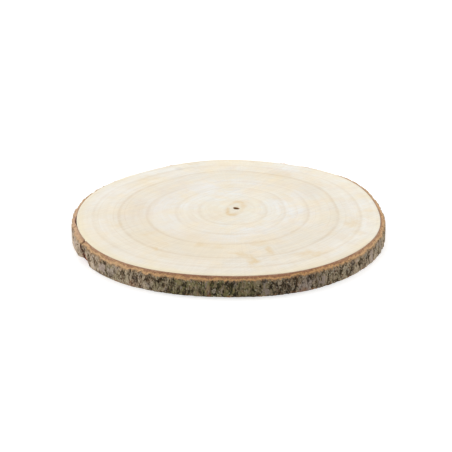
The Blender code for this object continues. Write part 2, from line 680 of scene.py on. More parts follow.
@dataclass(frozen=True)
class HeartStain:
    """Amber oval line that runs round the pith, with a faint tint inside it."""

    oval: Stain = Stain(-1.2, -0.5, 17.5, 8.4, 78)
    line_width: float = 0.24
    near_side: float = math.radians(236.0)
    far_side: float = math.radians(48.0)
    far_share: float = 0.7
    least: float = 0.22
    swing: float = 0.66
    focus: float = 1.5
    inside: float = 0.16
    inside_edge: Pair = (0.7, 1.4)

    def share(self, x: Array, y: Array) -> Array:
        """How strongly the stain shows at each place.

        Args:
            x: Places to the right of the pith, in mm.
            y: Places beyond it, in mm.

        Returns:
            Shares from 0 to 1.
        """
        reach = self.oval.reach(x, y)
        line = np.exp(-((reach - 1.0) / self.line_width) ** 2)
        bearing = np.arctan2(y - self.oval.away, x - self.oval.across)
        near, far = (np.clip(np.cos(bearing - side), 0.0, 1.0)
                     for side in (self.near_side, self.far_side))
        uneven = self.least + self.swing * np.maximum(near, self.far_share * far) ** self.focus
        inside = self.inside * (1.0 - smooth_step(*self.inside_edge, reach))
        return np.clip(line * uneven + inside, 0.0, 1.0)


@dataclass(frozen=True)
class GrowthRing:
    """Boundary of one year's growth, as a share of the way from pith to rim."""

    share: float
    sway: tuple[float, float, float, float]
    strength: float
    fade: float = 0.0

    def strength_at(self, spokes: Array) -> Array:
        """Strength of the ring along each spoke."""
        return self.strength * (1.0 - self.fade * np.clip(np.sin(spokes), 0.0, None))

    def at(self, spokes: Array) -> Array:
        """Share of the way from pith to rim along each spoke."""
        one, two, three, four = self.sway
        return (
            self.share
            + one * np.cos(spokes) + two * np.sin(spokes)
            + three * np.cos(2.0 * spokes) + four * np.sin(2.0 * spokes)
        )


@dataclass
class WoodDisc:
    """Sawn disc of wood with growth rings, stains and a hollow pith."""

    outline: Outline
    thickness: float
    spokes: int = 500
    face_rows: int = 72
    pith_place: Pair = (0.0082, 0.0110)
    pith_radius: float = 0.0032
    pith_foot_radius: float = 0.0026
    pith_squash: float = 0.72
    pith_lean: float = math.radians(140.0)
    pith_ragged: float = 0.0006
    pith_stain_reach: float = 0.0006
    rim_ease: float = 0.0004
    saw_ripple: float = 0.00004
    hollow_rows: tuple[float, ...] = (0.12, 0.3, 0.5, 0.7, 0.86, 0.95)
    rim_rows: tuple[float, ...] = (0.95, 0.75, 0.5, 0.25, 0.05)
    crowding: float = 1.12
    mouth_sink: float = 0.0005
    foot_sink: float = 0.0004
    mouth_round: float = 0.0006
    ease_share: float = 0.3
    flat_from: float = 0.98
    saw_noise: NoiseLayer = NoiseLayer(1.0, 0.004, 0.0, 0.2)
    hollow_noise: Layers = (NoiseLayer(1.0, 0.8, 0.0, 0.12), NoiseLayer(0.6, 0.3, 5.0, 0.35))
    pith_stain: float = 0.8
    heart: HeartStain = HeartStain()
    heart_sway: float = 0.3
    stain_sway: tuple[Layers, Layers] = (
        (NoiseLayer(7.0, 0.013, 2.0), NoiseLayer(3.0, 0.005, 2.0)),
        (NoiseLayer(7.0, 0.013, 11.0), NoiseLayer(3.0, 0.005, 11.0)),
    )
    rings: tuple[GrowthRing, ...] = (
        GrowthRing(0.2397, (-0.0141, -0.0103, -0.0176, -0.0005), 0.50, 0.35),
        GrowthRing(0.3862, (-0.0182, -0.0014, -0.0250, 0.0048), 0.56),
        GrowthRing(0.5405, (-0.0245, -0.0134, -0.0060, 0.0092), 0.85, 0.60),
        GrowthRing(0.7407, (-0.0143, -0.0016, -0.0155, 0.0025), 0.92),
        GrowthRing(0.8851, (-0.0169, -0.0047, 0.0009, -0.0016), 0.56, 0.25),
        GrowthRing(0.6548, (-0.0267, -0.0048, -0.0315, 0.0014), 0.22),
        GrowthRing(0.8150, (-0.0120, 0.0020, -0.0040, 0.0010), 0.20),
        GrowthRing(0.1450, (-0.0060, 0.0000, -0.0100, 0.0000), 0.22),
        GrowthRing(0.3150, (-0.0150, 0.0000, -0.0180, 0.0020), 0.15),
    )
    stains: tuple[Stain, ...] = (
        Stain(12, -107, 15, 5.5, -20, 0.70),
        Stain(22, -124, 15, 5.5, -86, 0.85),
        Stain(19, -112, 9, 5.5, -40, 0.70),
        Stain(38, -97, 13, 5.0, -70, 0.80),
        Stain(27, -78, 12, 7.0, 10, 0.50),
        Stain(81, -103, 20, 10.0, 22, 0.62),
        Stain(127, -26, 18, 10.0, 78, 0.60),
        Stain(146, 8, 7, 4.0, 80, 0.30),
        Stain(-30, -84, 7, 8.0, 30, 0.50),
        Stain(-10, -87, 7, 4.0, 0, 0.35),
        Stain(-68, -80, 8, 5.5, -40, 0.42),
        Stain(-84, -52, 8, 6.0, 40, 0.35),
        Stain(-116, -35, 9, 3.5, 10, 0.35),
        Stain(-71, -93, 9, 2.4, -42, 0.75),
        Stain(-60, -110, 12, 6.0, -30, 0.30),
        Stain(-45, 145, 12, 4.0, 12, 0.55),
        Stain(25, 150, 8, 4.0, 0, 0.35),
        Stain(-90, 100, 16, 9.0, 40, 0.35),
        Stain(60, 110, 20, 10.0, -20, 0.30),
        Stain(-98, 6, 42, 20, 84, 0.55, StainKind.BROWN),
        Stain(-62, 70, 34, 14, 38, 0.45, StainKind.BROWN),
        Stain(-36, -62, 26, 12, -24, 0.40, StainKind.BROWN),
        Stain(72, 74, 34, 16, -40, 0.35, StainKind.BROWN),
        Stain(-57, 130, 6, 2.6, 30, 0.60, StainKind.GREY),
        Stain(82, 118, 9, 3.0, -35, 0.30, StainKind.GREY),
    )

    def _reach(self, spokes: Array) -> Array:
        """Distance from the pith to the rim along each spoke."""
        return self.outline.from_place(self.pith_place, spokes)

    def _hollow(self, spokes: Array, radius: float, height: float) -> Array:
        """Radius of the ragged pith hollow at one height.

        Args:
            spokes: Angles round the pith.
            radius: Half the hollow's longer width there.
            height: Height above the underside.

        Returns:
            Radii in metres.
        """
        turn = spokes - self.pith_lean
        oval = radius / np.hypot(np.cos(turn), np.sin(turn) / self.pith_squash)
        places = np.stack([np.cos(spokes), np.sin(spokes), np.full_like(spokes, height / MM)], -1)
        return oval + self.pith_ragged * layered(places, self.hollow_noise)

    def _section(self, spokes: Array) -> tuple[Array, Array, Array]:
        """Section of the disc along every spoke, up the hollow and down the rim.

        Args:
            spokes: Angles round the pith.

        Returns:
            Distance from the pith, height and how far each point lies in the hollow.
        """
        reach = self._reach(spokes)
        face = np.linspace(0.0, 1.0, self.face_rows) ** self.crowding
        top = self._hollow(spokes, self.pith_radius, self.thickness)
        foot = self._hollow(spokes, self.pith_foot_radius, 0.0)
        distance, height, hollow = [], [], []

        def row(r: Array, z: object, inside: float) -> None:
            distance.append(r)
            height.append(np.broadcast_to(z, r.shape))
            hollow.append(np.full_like(r, inside))

        for share in self.hollow_rows:
            wide = self.pith_foot_radius + share * (self.pith_radius - self.pith_foot_radius)
            row(self._hollow(spokes, wide, share * self.thickness), share * self.thickness, 1.0)
        for share in face:
            r = top + share * (reach - self.rim_ease - top)
            sunk = self.mouth_sink * np.exp(-(r - top) / self.mouth_round)
            row(r, self.thickness - sunk, 0.0)
        ease = self.ease_share * self.rim_ease
        row(reach - ease, self.thickness - ease, 0.0)
        for share in self.rim_rows:
            row(reach, share * self.thickness, 0.0)
        row(reach - ease, ease, 0.0)
        for share in face[::-1]:
            r = foot + share * (reach - self.rim_ease - foot)
            row(r, self.foot_sink * np.exp(-(r - foot) / self.mouth_round), 0.0)
        return tuple(np.stack(rows, axis=1) for rows in (distance, height, hollow))

    def _ring_values(self, share: Array, spokes: Array, reach: Array) -> tuple[Array, Array]:
        """Nearest growth ring at each point.

        Args:
            share: Share of the way from pith to rim.
            spokes: Angle of each point's spoke.
            reach: Length of each point's spoke.

        Returns:
            Signed distance to the nearest ring in mm, and that ring's strength.
        """
        gap = np.full_like(share, 1e3)
        strength = np.zeros_like(share)
        for ring in self.rings:
            here = (share - ring.at(spokes)) * reach / MM
            nearer = np.abs(here) < np.abs(gap)
            gap = np.where(nearer, here, gap)
            strength = np.where(nearer, ring.strength_at(spokes), strength)
        return gap, strength

    def _stain_values(self, x: Array, y: Array, kind: StainKind) -> Array:
        """How strongly stains of one kind show at each point.

        Args:
            x: Places to the right of the outline's centre, in mm.
            y: Places beyond it, in mm.
            kind: Colour of the stains to add up.

        Returns:
            Shares from 0 to 1.
        """
        total = np.zeros_like(x)
        for stain in self.stains:
            if stain.kind is kind:
                total = np.maximum(total, stain.share(x, y))
        return total

    def build(self) -> bpy.types.Object:
        """Build the fine mesh of the sawn disc.

        Returns:
            The new object, with its growth values on its points.
        """
        spokes = np.linspace(0.0, math.tau, self.spokes, endpoint=False)
        distance, height, hollow = self._section(spokes)
        bearing = np.broadcast_to(spokes[:, None], distance.shape)
        x = self.pith_place[0] + distance * np.cos(bearing)
        y = self.pith_place[1] + distance * np.sin(bearing)
        reach = np.broadcast_to(self._reach(spokes)[:, None], distance.shape)
        share = distance / reach
        gap, strength = self._ring_values(share, bearing, reach)
        points = np.stack([x, y, height], axis=-1)
        middle = self.thickness / 2.0
        ripple = self.saw_ripple * (self.saw_noise.at(points) - 0.5)
        flat = (np.abs(height - middle) > self.flat_from * middle) & (hollow < 0.5)
        points[..., 2] += np.where(flat, ripple * np.sign(height - middle), 0.0)
        points[..., 2] = np.clip(points[..., 2], 0.0, self.thickness)
        warp_x, warp_y = (layered(points, sway) for sway in self.stain_sway)
        local_x = (x - self.outline.centre[0]) / MM + warp_x
        local_y = (y - self.outline.centre[1]) / MM + warp_y
        top = self._hollow(spokes, self.pith_radius, self.thickness)[:, None]
        foot = self._hollow(spokes, self.pith_foot_radius, 0.0)[:, None]
        mouth = np.where(height > middle, top, foot)
        fade = np.exp(-np.maximum(distance - mouth, 0.0) / self.pith_stain_reach)
        near_pith = self.pith_stain * fade
        pile = MeshPile()
        pile.add(
            points.reshape(-1, 3),
            closed_band(points),
            share=share.ravel(),
            ring_gap=gap.ravel(),
            ring_strength=strength.ravel(),
            **{kind.value: self._stain_values(local_x, local_y, kind).ravel()
               for kind in StainKind},
            heart=self.heart.share(
                (x - self.pith_place[0]) / MM + self.heart_sway * warp_x,
                (y - self.pith_place[1]) / MM + self.heart_sway * warp_y,
            ).ravel(),
            pith=np.maximum(hollow, near_pith * (hollow < 0.5)).ravel(),
            spoke_x=np.cos(bearing).ravel(),
            spoke_y=np.sin(bearing).ravel(),
            under=(height < middle).astype(float).ravel(),
        )
        return pile.build("sawn_wood")


@dataclass(frozen=True)
class Crack:
    """Crack through the bark's upper edge and down its outer face. Its angle is in degrees."""

    angle: float
    lean: float
    half_width: float
    depth: float
    edge_drop: float
    reach: float


@dataclass(frozen=True)
class Loss:
    """Stretch at the foot, broken away or fuller. Its angle is in degrees."""

    angle: float
    half_length: float
    height: float
    depth: float
    steepness: float


@dataclass(frozen=True)
class WallPatch:
    """Ragged oval on the bark's outer face. Its angle is in degrees, its sizes in metres."""

    angle: float
    half_length: float
    middle: float
    half_height: float
    strength: float = 1.0


@dataclass(frozen=True)
class PatchKind:
    """Patches of one kind. Those shorter than calm_below have calmer edges."""

    ragged: Layers
    edge: Pair
    calm_below: float
    patches: tuple[WallPatch, ...]
    limit: float = 2.0

    def share(self, outline: Outline, places: Array, angle: Array, height: Array) -> Array:
        """How far each place lies in one of the patches.

        Args:
            outline: Outline that the bark follows.
            places: Points to read the noise at.
            angle: Angles round the rim.
            height: Heights above the underside.

        Returns:
            Shares from 0 to 1.
        """
        ragged = layered(places, self.ragged)
        total = np.zeros(places.shape[:-1])
        for patch in self.patches:
            across = outline.arc(patch.angle, angle) / patch.half_length
            reach = np.hypot(across, (height - patch.middle) / patch.half_height)
            uneven = ragged * min(1.0, patch.half_length / self.calm_below)
            share = patch.strength * (1.0 - smooth_step(*self.edge, reach + uneven))
            total = np.maximum(total, share * (reach < self.limit))
        return total


@dataclass(frozen=True)
class Fissure:
    """Narrow fissure up the outer face, painted dark with its shade. Its sizes are in degrees and
    mm.
    """

    angle: float
    low: float
    high: float
    half_width: float = 0.7
    depth: float = 0.5


@dataclass(frozen=True)
class Vein:
    """Net of furrows along the zeros of a noise. The powers narrow its depth and its shade."""

    noise: NoiseLayer
    width: float
    depth: float
    dark: float
    depth_power: float = 1.0
    dark_power: float = 1.0

    def share(self, places: Array) -> Array:
        """How far in a furrow each place lies, from 0 to 1."""
        return np.clip(1.0 - np.abs(self.noise.at(places)) / self.width, 0.0, 1.0)

    def deep(self, share: Array) -> Array:
        """Depth of the furrows in metres."""
        return self.depth * share ** self.depth_power

    def shade(self, share: Array) -> Array:
        """How dark the furrows are painted: partly their own colour, partly painted shade."""
        return self.dark * share ** self.dark_power


@dataclass
class BarkRing:
    """Ring of bark: a broken upper edge, a furrowed outer face, cracks and a slit."""

    outline: Outline
    thickness: float
    width: float = 0.0060
    gap: float = 0.0003
    spare: float = 0.00017
    spare_outside: float = 0.0006
    stations: int = 1760
    wall_rows: int = 29
    cut_rows: int = 10
    cut_drop: float = 0.0035
    cut_drop_change: float = 0.0007
    cut_drop_scale: float = 0.016
    shallow_cut_rise: float = 0.0011
    back_angle: float = math.radians(75.0)
    jagged_edge: float = 0.0019
    smooth_edge_share: float = 0.85
    lip_drop: float = 0.0003
    inner_width_share: float = 0.43
    inner_drop_share: float = 0.58
    foot_ease: float = 0.0010
    thinnest: float = 0.0008
    # Furrow nets: depth in metres, then how dark each is painted, partly the bark's own colour and
    # partly painted shade
    furrow: Vein = Vein(NoiseLayer(1.0, 0.0080, 0.0, 0.50), 0.24, 0.0016, 0.48)
    strand: Vein = Vein(NoiseLayer(1.0, 0.0027, 1.3, 0.42), 0.26, 0.00060, 0.36, 1.5, 1.3)
    check: Vein = Vein(NoiseLayer(1.0, 0.0016, 3.1, 0.80), 0.30, 0.00044, 0.26)
    cross: NoiseLayer = NoiseLayer(1.0, 0.0045, 7.7, 2.4)
    cross_edge: Pair = (0.30, 0.48)
    cross_depth: float = 0.00035
    cross_dark: float = 0.30
    bend: NoiseLayer = NoiseLayer(0.0009, 0.006, 2.0)
    grain: NoiseLayer = NoiseLayer(1.0, 0.0008, 9.0)
    grain_depth: float = 0.00016
    swell: NoiseLayer = NoiseLayer(0.5, 0.022, 0.0, 0.50)
    swell_depth: float = 0.0007
    foot_calm: Pair = (0.0, 0.005)
    foot_calm_share: float = 0.5
    back_calm: Pair = (0.011, 0.016)
    back_calm_share: float = 0.75
    bare_smooth: float = 0.85
    bare_furrow: float = 0.35
    # Painted shade in the fissures, and how far across a fissure it reaches
    fissure_dark: float = 0.92
    fissure_dark_to: float = 0.7
    fissure_ends: Pair = (0.001, 0.002)
    inside_rows: tuple[float, ...] = (0.0, 0.3, 0.6, 0.75, 0.88)
    under_rows: tuple[float, ...] = (0.75, 0.5, 0.25)
    cut_rough: float = 0.00020
    cork_rough: float = 0.00035
    cork_from: Pair = (0.35, 0.7)
    back_cork_share: float = 0.8
    lip_share: float = 0.12
    foot_ease_height: float = 0.0022
    under_noise: NoiseLayer = NoiseLayer(1.0, 0.0015, 2.0)
    under_rough: float = 0.00018
    tongues: NoiseLayer = NoiseLayer(0.0016, 0.0030, 8.0)
    cover_fade: float = 0.0004
    crust_noise: NoiseLayer = NoiseLayer(0.25, 0.0026, 6.0)
    crust_from: Pair = (0.86, 1.0)
    crust_share: float = 0.7
    cut_furrow: float = 0.4
    slit_angle: float = 187.0
    slit_half_length: float = 0.0125
    slit_width: float = 0.0016
    slit_depth: float = 0.0070
    cracks: tuple[Crack, ...] = (
        Crack(206.0, 0.0, 0.0018, 0.0038, 0.0036, 0.030),
        Crack(191.6, 0.0012, 0.0014, 0.0024, 0.0028, 0.009),
    )
    losses: tuple[Loss, ...] = (
        Loss(207.4, 0.0155, 0.0115, 0.0058, 1.0),
        Loss(197.5, 0.0215, 0.0400, -0.0018, 2.5),
        Loss(225.0, 0.0330, 0.0400, -0.0026, 2.5),
    )
    # Painted shadow of the cracks: how much wider than the crack its dark line is, and how strongly
    # it shows on the broken edge
    crack_shadow: float = 1.6
    crack_shadow_on_cut: tuple[float, ...] = (0.42, 0.12)
    torn_places: PatchKind = PatchKind(
        (NoiseLayer(0.45, 0.0030), NoiseLayer(0.35, 0.0012, 3.0)), (0.75, 1.05), 0.0010, (
            WallPatch(207.9, 0.0078, 0.0026, 0.0062, 1.0),
            WallPatch(235.6, 0.0054, 0.0032, 0.0038, 0.30),
            WallPatch(295.4, 0.0058, 0.0022, 0.0030, 0.28),
            WallPatch(262.8, 0.0020, 0.0020, 0.0030, 0.35),
            WallPatch(34.0, 0.0052, 0.0036, 0.0040, 0.40),
            WallPatch(83.0, 0.0044, 0.0060, 0.0052, 0.30),
            WallPatch(141.0, 0.0060, 0.0030, 0.0044, 0.40),
        ))
    bare_places: PatchKind = PatchKind(
        (NoiseLayer(0.55, 0.0032, 4.0), NoiseLayer(0.30, 0.0013, 6.0)), (0.8, 1.1), 0.0050, (
            WallPatch(198.6, 0.0040, 0.0100, 0.0050),
            WallPatch(221.5, 0.0048, 0.0080, 0.0050),
            WallPatch(238.6, 0.0022, 0.0090, 0.0080),
            WallPatch(262.2, 0.0022, 0.0095, 0.0075),
            WallPatch(282.0, 0.0044, 0.0055, 0.0045),
            WallPatch(290.0, 0.0020, 0.0110, 0.0050),
            WallPatch(302.2, 0.0064, 0.0085, 0.0055),
            WallPatch(329.5, 0.0036, 0.0085, 0.0065),
            WallPatch(338.8, 0.0034, 0.0090, 0.0080),
            WallPatch(20.0, 0.0055, 0.0080, 0.0060),
            WallPatch(58.0, 0.0030, 0.0105, 0.0065),
            WallPatch(97.0, 0.0060, 0.0060, 0.0050),
            WallPatch(128.0, 0.0024, 0.0100, 0.0070),
            WallPatch(160.0, 0.0052, 0.0080, 0.0050),
        ))
    fissure_sway: Layers = (NoiseLayer(0.002, 0.0060, 3.4), NoiseLayer(0.001, 0.0022, 1.4))
    edge_ragged: Layers = (NoiseLayer(0.45, 0.0035, 2.0), NoiseLayer(0.6, 0.0014, 5.0))
    cut_ragged: Layers = (NoiseLayer(0.6, 0.0016, 1.0), NoiseLayer(0.4, 0.0007, 3.0))
    cover_ragged: Layers = (NoiseLayer(0.0022, 0.0018, 2.0), NoiseLayer(0.0018, 0.0010, 5.0))
    fissures: tuple[Fissure, ...] = (
        Fissure(218.4, 2, 16),
        Fissure(227.6, 1, 14, 0.9, 0.9),
        Fissure(232.9, 6, 17),
        Fissure(244.8, 2, 15),
        Fissure(246.6, 8, 17, 0.8, 0.9),
        Fissure(252.5, 1, 10),
        Fissure(263.6, 6, 17, 1.4, 1.4),
        Fissure(272.8, 3, 16),
        Fissure(292.6, 5, 17, 0.9, 0.9),
        Fissure(297.2, 1, 14),
        Fissure(307.4, 3, 16),
        Fissure(311.0, 6, 17, 0.9, 0.9),
        Fissure(317.2, 1, 15),
        Fissure(326.0, 4, 16),
        Fissure(336.0, 3, 14),
    )
    scattered_fissures: int = 34
    fissure_seed: int = 21
    scattered_turn: Pair = (-22.0, 180.0)
    scattered_low: Pair = (0.0, 9.0)
    scattered_tall: Pair = (5.0, 11.0)
    scattered_top: float = 17.0
    scattered_width: Pair = (0.5, 0.9)
    scattered_depth: Pair = (0.4, 0.9)
    algae: Humps = ((262, 29, 0.92), (228, 12, 0.45), (313, 18, 0.32), (344, 18, 0.35),
                    (64, 40, 0.70), (150, 30, 0.40))
    pale: Humps = ((212, 60, 1.0), (228, 10, -0.22), (237, 9, 0.20), (284, 7, 0.12),
                   (329, 39, 0.72), (16, 44, 0.66), (76, 34, 0.30), (128, 44, 0.55))
    faded: Humps = ((186, 26, 1.0),)
    rich: Humps = ((280, 56, 1.0), (110, 60, 0.50))
    hump_edge: Pair = (0.25, 1.0)

    def all_fissures(self) -> list[Fissure]:
        """The placed fissures and seeded ones round the rest of the rim.

        Returns:
            Every fissure.
        """
        draw = random.Random(self.fissure_seed)
        made = list(self.fissures)
        for _ in range(self.scattered_fissures):
            low = draw.uniform(*self.scattered_low)
            high = min(self.scattered_top, low + draw.uniform(*self.scattered_tall))
            made.append(Fissure(draw.uniform(*self.scattered_turn), low, high,
                                draw.uniform(*self.scattered_width),
                                draw.uniform(*self.scattered_depth)))
        return made

    def fissured(self, angle: Array, height: Array) -> tuple[Array, Array]:
        """Fissures of the outer face.

        Args:
            angle: Angles round the rim.
            height: Heights above the underside.

        Returns:
            Depths in metres, and shares from 0 outside a fissure to 1 on its line.
        """
        places = self._wall_places(angle, height)
        sway = layered(places, self.fissure_sway)
        depth = np.zeros(places.shape[:-1])
        dark = np.zeros(places.shape[:-1])
        outside, inside = self.fissure_ends
        for each in self.all_fissures():
            across = np.abs(self.outline.arc(each.angle, angle) + sway) / (each.half_width * MM)
            low, high = each.low * MM, each.high * MM
            foot = smooth_step(low - outside, low + inside, height)
            ends = foot * (1.0 - smooth_step(high - inside, high + outside, height))
            share = np.clip(1.0 - across, 0.0, 1.0) * ends
            depth = np.maximum(depth, each.depth * MM * share)
            dark = np.maximum(dark, smooth_step(0.0, self.fissure_dark_to, share))
        return depth, dark

    def crack_share(self, crack: Crack, angle: Array, height: Array, spread: float = 1.0) -> Array:
        """Depth of a crack at each place.

        Args:
            crack: The crack.
            angle: Angles round the rim.
            height: Heights above the underside.
            spread: What to multiply the crack's width by.

        Returns:
            Shares from 0 outside the crack to 1 on its line.
        """
        line = crack.lean * (1.0 - height / self.thickness)
        across = np.abs(self.outline.arc(crack.angle, angle) - line)
        side = np.clip(1.0 - across / (spread * crack.half_width), 0.0, 1.0)
        above = height - self.thickness + crack.reach
        return side * np.clip(2.0 * above / crack.reach, 0.0, 1.0)

    def lost(self, angle: Array, height: Array) -> Array:
        """How far the outer face has been lost to cracks and at the foot.

        Args:
            angle: Angles round the rim.
            height: Heights above the underside.

        Returns:
            Depths in metres.
        """
        total = np.zeros(np.broadcast(angle, height).shape)
        for crack in self.cracks:
            total += crack.depth * self.crack_share(crack, angle, height)
        for loss in self.losses:
            along = 1.0 - np.abs(self.outline.arc(loss.angle, angle)) / loss.half_length
            up = np.clip(1.0 - height / loss.height, 0.0, 1.0)
            total += loss.depth * np.clip(loss.steepness * np.clip(along, 0.0, 1.0), 0.0, 1.0) * up
        return total

    def bare(self, angle: Array, height: Array) -> Array:
        """How far each place lies in a smooth lilac-grey patch, where a scale has come off."""
        places = self._wall_places(angle, height)
        return self.bare_places.share(self.outline, places, angle, height)

    def torn(self, angle: Array, height: Array) -> Array:
        """How far each place lies where bark has torn away down to its reddish inner layers."""
        places = self._wall_places(angle, height)
        return self.torn_places.share(self.outline, places, angle, height)

    def _wall_places(self, angle: Array, height: Array) -> Array:
        """Points on a plain cylinder, for noise that has no seam."""
        angle, height = np.broadcast_arrays(angle, height)
        radius = self.outline.mean_radius
        return np.stack([radius * np.cos(angle), radius * np.sin(angle), height], axis=-1)

    def relief(self, angle: Array, height: Array) -> tuple[Array, Array]:
        """Furrows of the outer face.

        Args:
            angle: Angles round the rim.
            height: Heights above the underside.

        Returns:
            How far the face stands in from the bark's full width, and how dark each place is
            painted for its furrows and fissures, from 0 to 1: partly the bark's own colour, partly
            painted shade.
        """
        places = self._wall_places(angle, height)
        bent = places + self.bend.at(places)[..., None]
        furrow, strand, check = (vein.share(where) for vein, where in (
            (self.furrow, places), (self.strand, bent), (self.check, bent)))
        cross = smooth_step(*self.cross_edge, self.cross.at(bent))
        low_calm = 1.0 - self.foot_calm_share * (1.0 - smooth_step(*self.foot_calm, height))
        high_calm = self._shallow(angle) * smooth_step(*self.back_calm, height)
        calm = low_calm * (1.0 - self.back_calm_share * high_calm)
        smooth = 1.0 - self.bare_smooth * self.bare(angle, height)
        fine = self.strand.deep(strand) + self.check.deep(check) + self.cross_depth * cross
        fine = fine * smooth + self.grain_depth * (self.grain.at(places) + 0.5)
        kept = self.bare_furrow + (1.0 - self.bare_furrow) * smooth
        coarse = self.furrow.deep(furrow) * kept
        coarse = coarse + self.swell_depth * (0.5 + self.swell.at(places))
        cleft, dark = self.fissured(angle, height)
        # Darkness of furrows and fissures: partly the bark's own darker colour, partly painted
        # shade of the recesses.
        deep = self.furrow.shade(furrow) + self.strand.shade(strand)
        deep = deep + self.check.shade(check) + self.cross_dark * cross
        deep = np.clip(np.maximum(deep * smooth, self.fissure_dark * dark), 0.0, 1.0)
        return calm * (coarse + fine + cleft), deep

    def inner(self, angle: Array) -> Array:
        """Radius of the bark's inner side."""
        return self.outline.radius(angle) + self.gap

    def face(self, angle: Array, height: Array) -> tuple[Array, Array]:
        """Outer face of the bark.

        Args:
            angle: Angles round the rim.
            height: Heights above the underside.

        Returns:
            Radii in metres, and how dark its furrows are painted, as own colour and painted shade.
        """
        depth, furrow = self.relief(angle, height)
        outer = self.outline.radius(angle) + self.width - self.spare
        radius = np.minimum(outer, outer - depth - self.lost(angle, height))
        return np.maximum(self.inner(angle) + self.thinnest, radius), furrow

    def edge_height(self, angle: Array) -> Array:
        """Height of the broken edge's outer end.

        Args:
            angle: Angles round the rim.

        Returns:
            Heights in metres.
        """
        places = np.stack([np.cos(angle), np.sin(angle), np.zeros_like(angle)], -1)
        wide = perlin(places * (self.outline.mean_radius / self.cut_drop_scale), 1.0)
        rim = places * self.outline.mean_radius
        shallow = self._shallow(angle)
        jagged = layered(rim, self.edge_ragged) * (1.0 - self.smooth_edge_share * shallow)
        jagged = self.jagged_edge * jagged
        drop = self.cut_drop - self.shallow_cut_rise * shallow + self.cut_drop_change * wide
        return self.thickness - drop - jagged - self._notch(angle)

    def _shallow(self, angle: Array) -> Array:
        """How far each angle belongs to the back, where the broken edge is shallow."""
        return np.clip(np.cos(angle - self.back_angle), 0.0, None)

    def fullest(self, angle: Array) -> Array:
        """Largest radius that a loose piece may reach at each angle."""
        return self.outline.radius(angle) + self.width - self.spare_outside

    def _notch(self, angle: Array) -> Array:
        """How far the cracks cut down into the broken edge."""
        top = np.full_like(angle, self.thickness)
        parts = [c.edge_drop * self.crack_share(c, angle, top) for c in self.cracks]
        return np.sum(parts, axis=0)

    def _slit(self, angle: Array) -> Array:
        """Width of the slit between bark and wood at its mouth."""
        share = 1.0 - (self.outline.arc(self.slit_angle, angle) / self.slit_half_length) ** 2
        return self.slit_width * np.clip(share, 0.0, 1.0)

    def build(self) -> bpy.types.Object:
        """Build the fine mesh of the bark.

        Returns:
            The new object, with values for its layers on its points.
        """
        angle = np.linspace(0.0, math.tau, self.stations, endpoint=False)[:, None]
        edge = self.edge_height(angle[:, 0])[:, None]
        lip = (self.thickness - self.lip_drop - self._notch(angle[:, 0]))[:, None]
        inner, slit = self.inner(angle), self._slit(angle)
        open_from = self.thickness - self.slit_depth

        inside_height = lip * np.array(self.inside_rows)
        opened = np.clip((inside_height - open_from) / (lip - open_from), 0.0, 1.0)
        inside_radius = inner + slit * opened

        share = np.linspace(0.0, 1.0, self.cut_rows)[None, :-1]
        mouth = inner + slit
        outer_end, _ = self.face(angle, edge)
        drop = np.interp(share, [0.0, self.inner_width_share, 1.0],
                         [0.0, self.inner_drop_share, 1.0])
        cut_radius = mouth + share * (outer_end - mouth)
        cut_height = lip + drop * (edge - lip)
        cut_places = self.outline.points(angle, cut_radius, cut_height)
        ragged = layered(cut_places, self.cut_ragged)
        calm = 1.0 - self.back_cork_share * self._shallow(angle)
        rough = self.cut_rough + self.cork_rough * smooth_step(*self.cork_from, share) * calm
        cut_height = cut_height + rough * ragged * smooth_step(0.0, self.lip_share, share)
        cut_height = np.minimum(cut_height, self.thickness)

        wall_share = np.linspace(1.0, 0.0, self.wall_rows)[None, :]
        wall_height = edge * wall_share
        wall_radius, furrow = self.face(angle, wall_height)
        foot = smooth_step(0.0, self.foot_ease_height, wall_height)
        wall_radius = np.maximum(inner + self.thinnest, wall_radius - self.foot_ease * (1.0 - foot))

        under_share = np.array(self.under_rows)[None, :]
        under_radius = inner + under_share * (wall_radius[:, -1:] - inner)
        under_places = self.outline.points(angle, under_radius, np.zeros_like(under_radius))
        under_height = self.under_rough * (0.5 + self.under_noise.at(under_places))

        radius = np.concatenate([inside_radius, cut_radius, wall_radius, under_radius], axis=1)
        height = np.concatenate([
            np.broadcast_to(inside_height, inside_radius.shape),
            cut_height,
            wall_height,
            np.clip(under_height, 0.0, None),
        ], axis=1)
        places = self._wall_places(angle, wall_height)
        tongue = np.clip(self.tongues.at(places[:, :1]), 0.0, None)
        cover = edge - wall_height - tongue + layered(places, self.cover_ragged)
        covered = smooth_step(0.0, self.cover_fade, cover)
        crust = smooth_step(*self.crust_from, share + self.crust_noise.at(cut_places))
        # Painted shadow of the cracks, on the outer face and on the broken edge.
        crack = np.max([self.crack_share(c, angle, wall_height, self.crack_shadow)
                        for c in self.cracks], axis=0)
        top = np.full_like(angle, self.thickness)
        cut_crack_shadow = np.sum([self.crack_share(c, angle, top, self.crack_shadow) * strength
                            for c, strength in zip(self.cracks, self.crack_shadow_on_cut)], axis=0)
        blank, flat = np.zeros_like(inside_radius), np.zeros_like(under_radius)
        cut = np.zeros_like(cut_radius)
        values = {
            "layer": [blank, cut + share, np.ones_like(wall_radius), flat + under_share],
            "wall": [blank, cut + self.crust_share * crust, covered, flat],
            # How dark each place is painted for its furrows: partly own colour, partly painted
            # shade
            "furrow": [blank, cut + self.cut_furrow, furrow, flat],
            "bare": [blank, cut, self.bare(angle, wall_height), flat],
            "torn": [blank, cut, self.torn(angle, wall_height), flat],
            "crack": [blank, cut + cut_crack_shadow, crack, flat],
        }
        points = self.outline.points(angle, radius, height)
        tones = self.tones(np.broadcast_to(angle, radius.shape))
        pile = MeshPile()
        pile.add(
            points.reshape(-1, 3),
            closed_band(points),
            **{name: value.ravel() for name, value in tones.items()},
            **{name: np.concatenate(parts, axis=1).ravel() for name, parts in values.items()},
        )
        return pile.build("bark_ring")

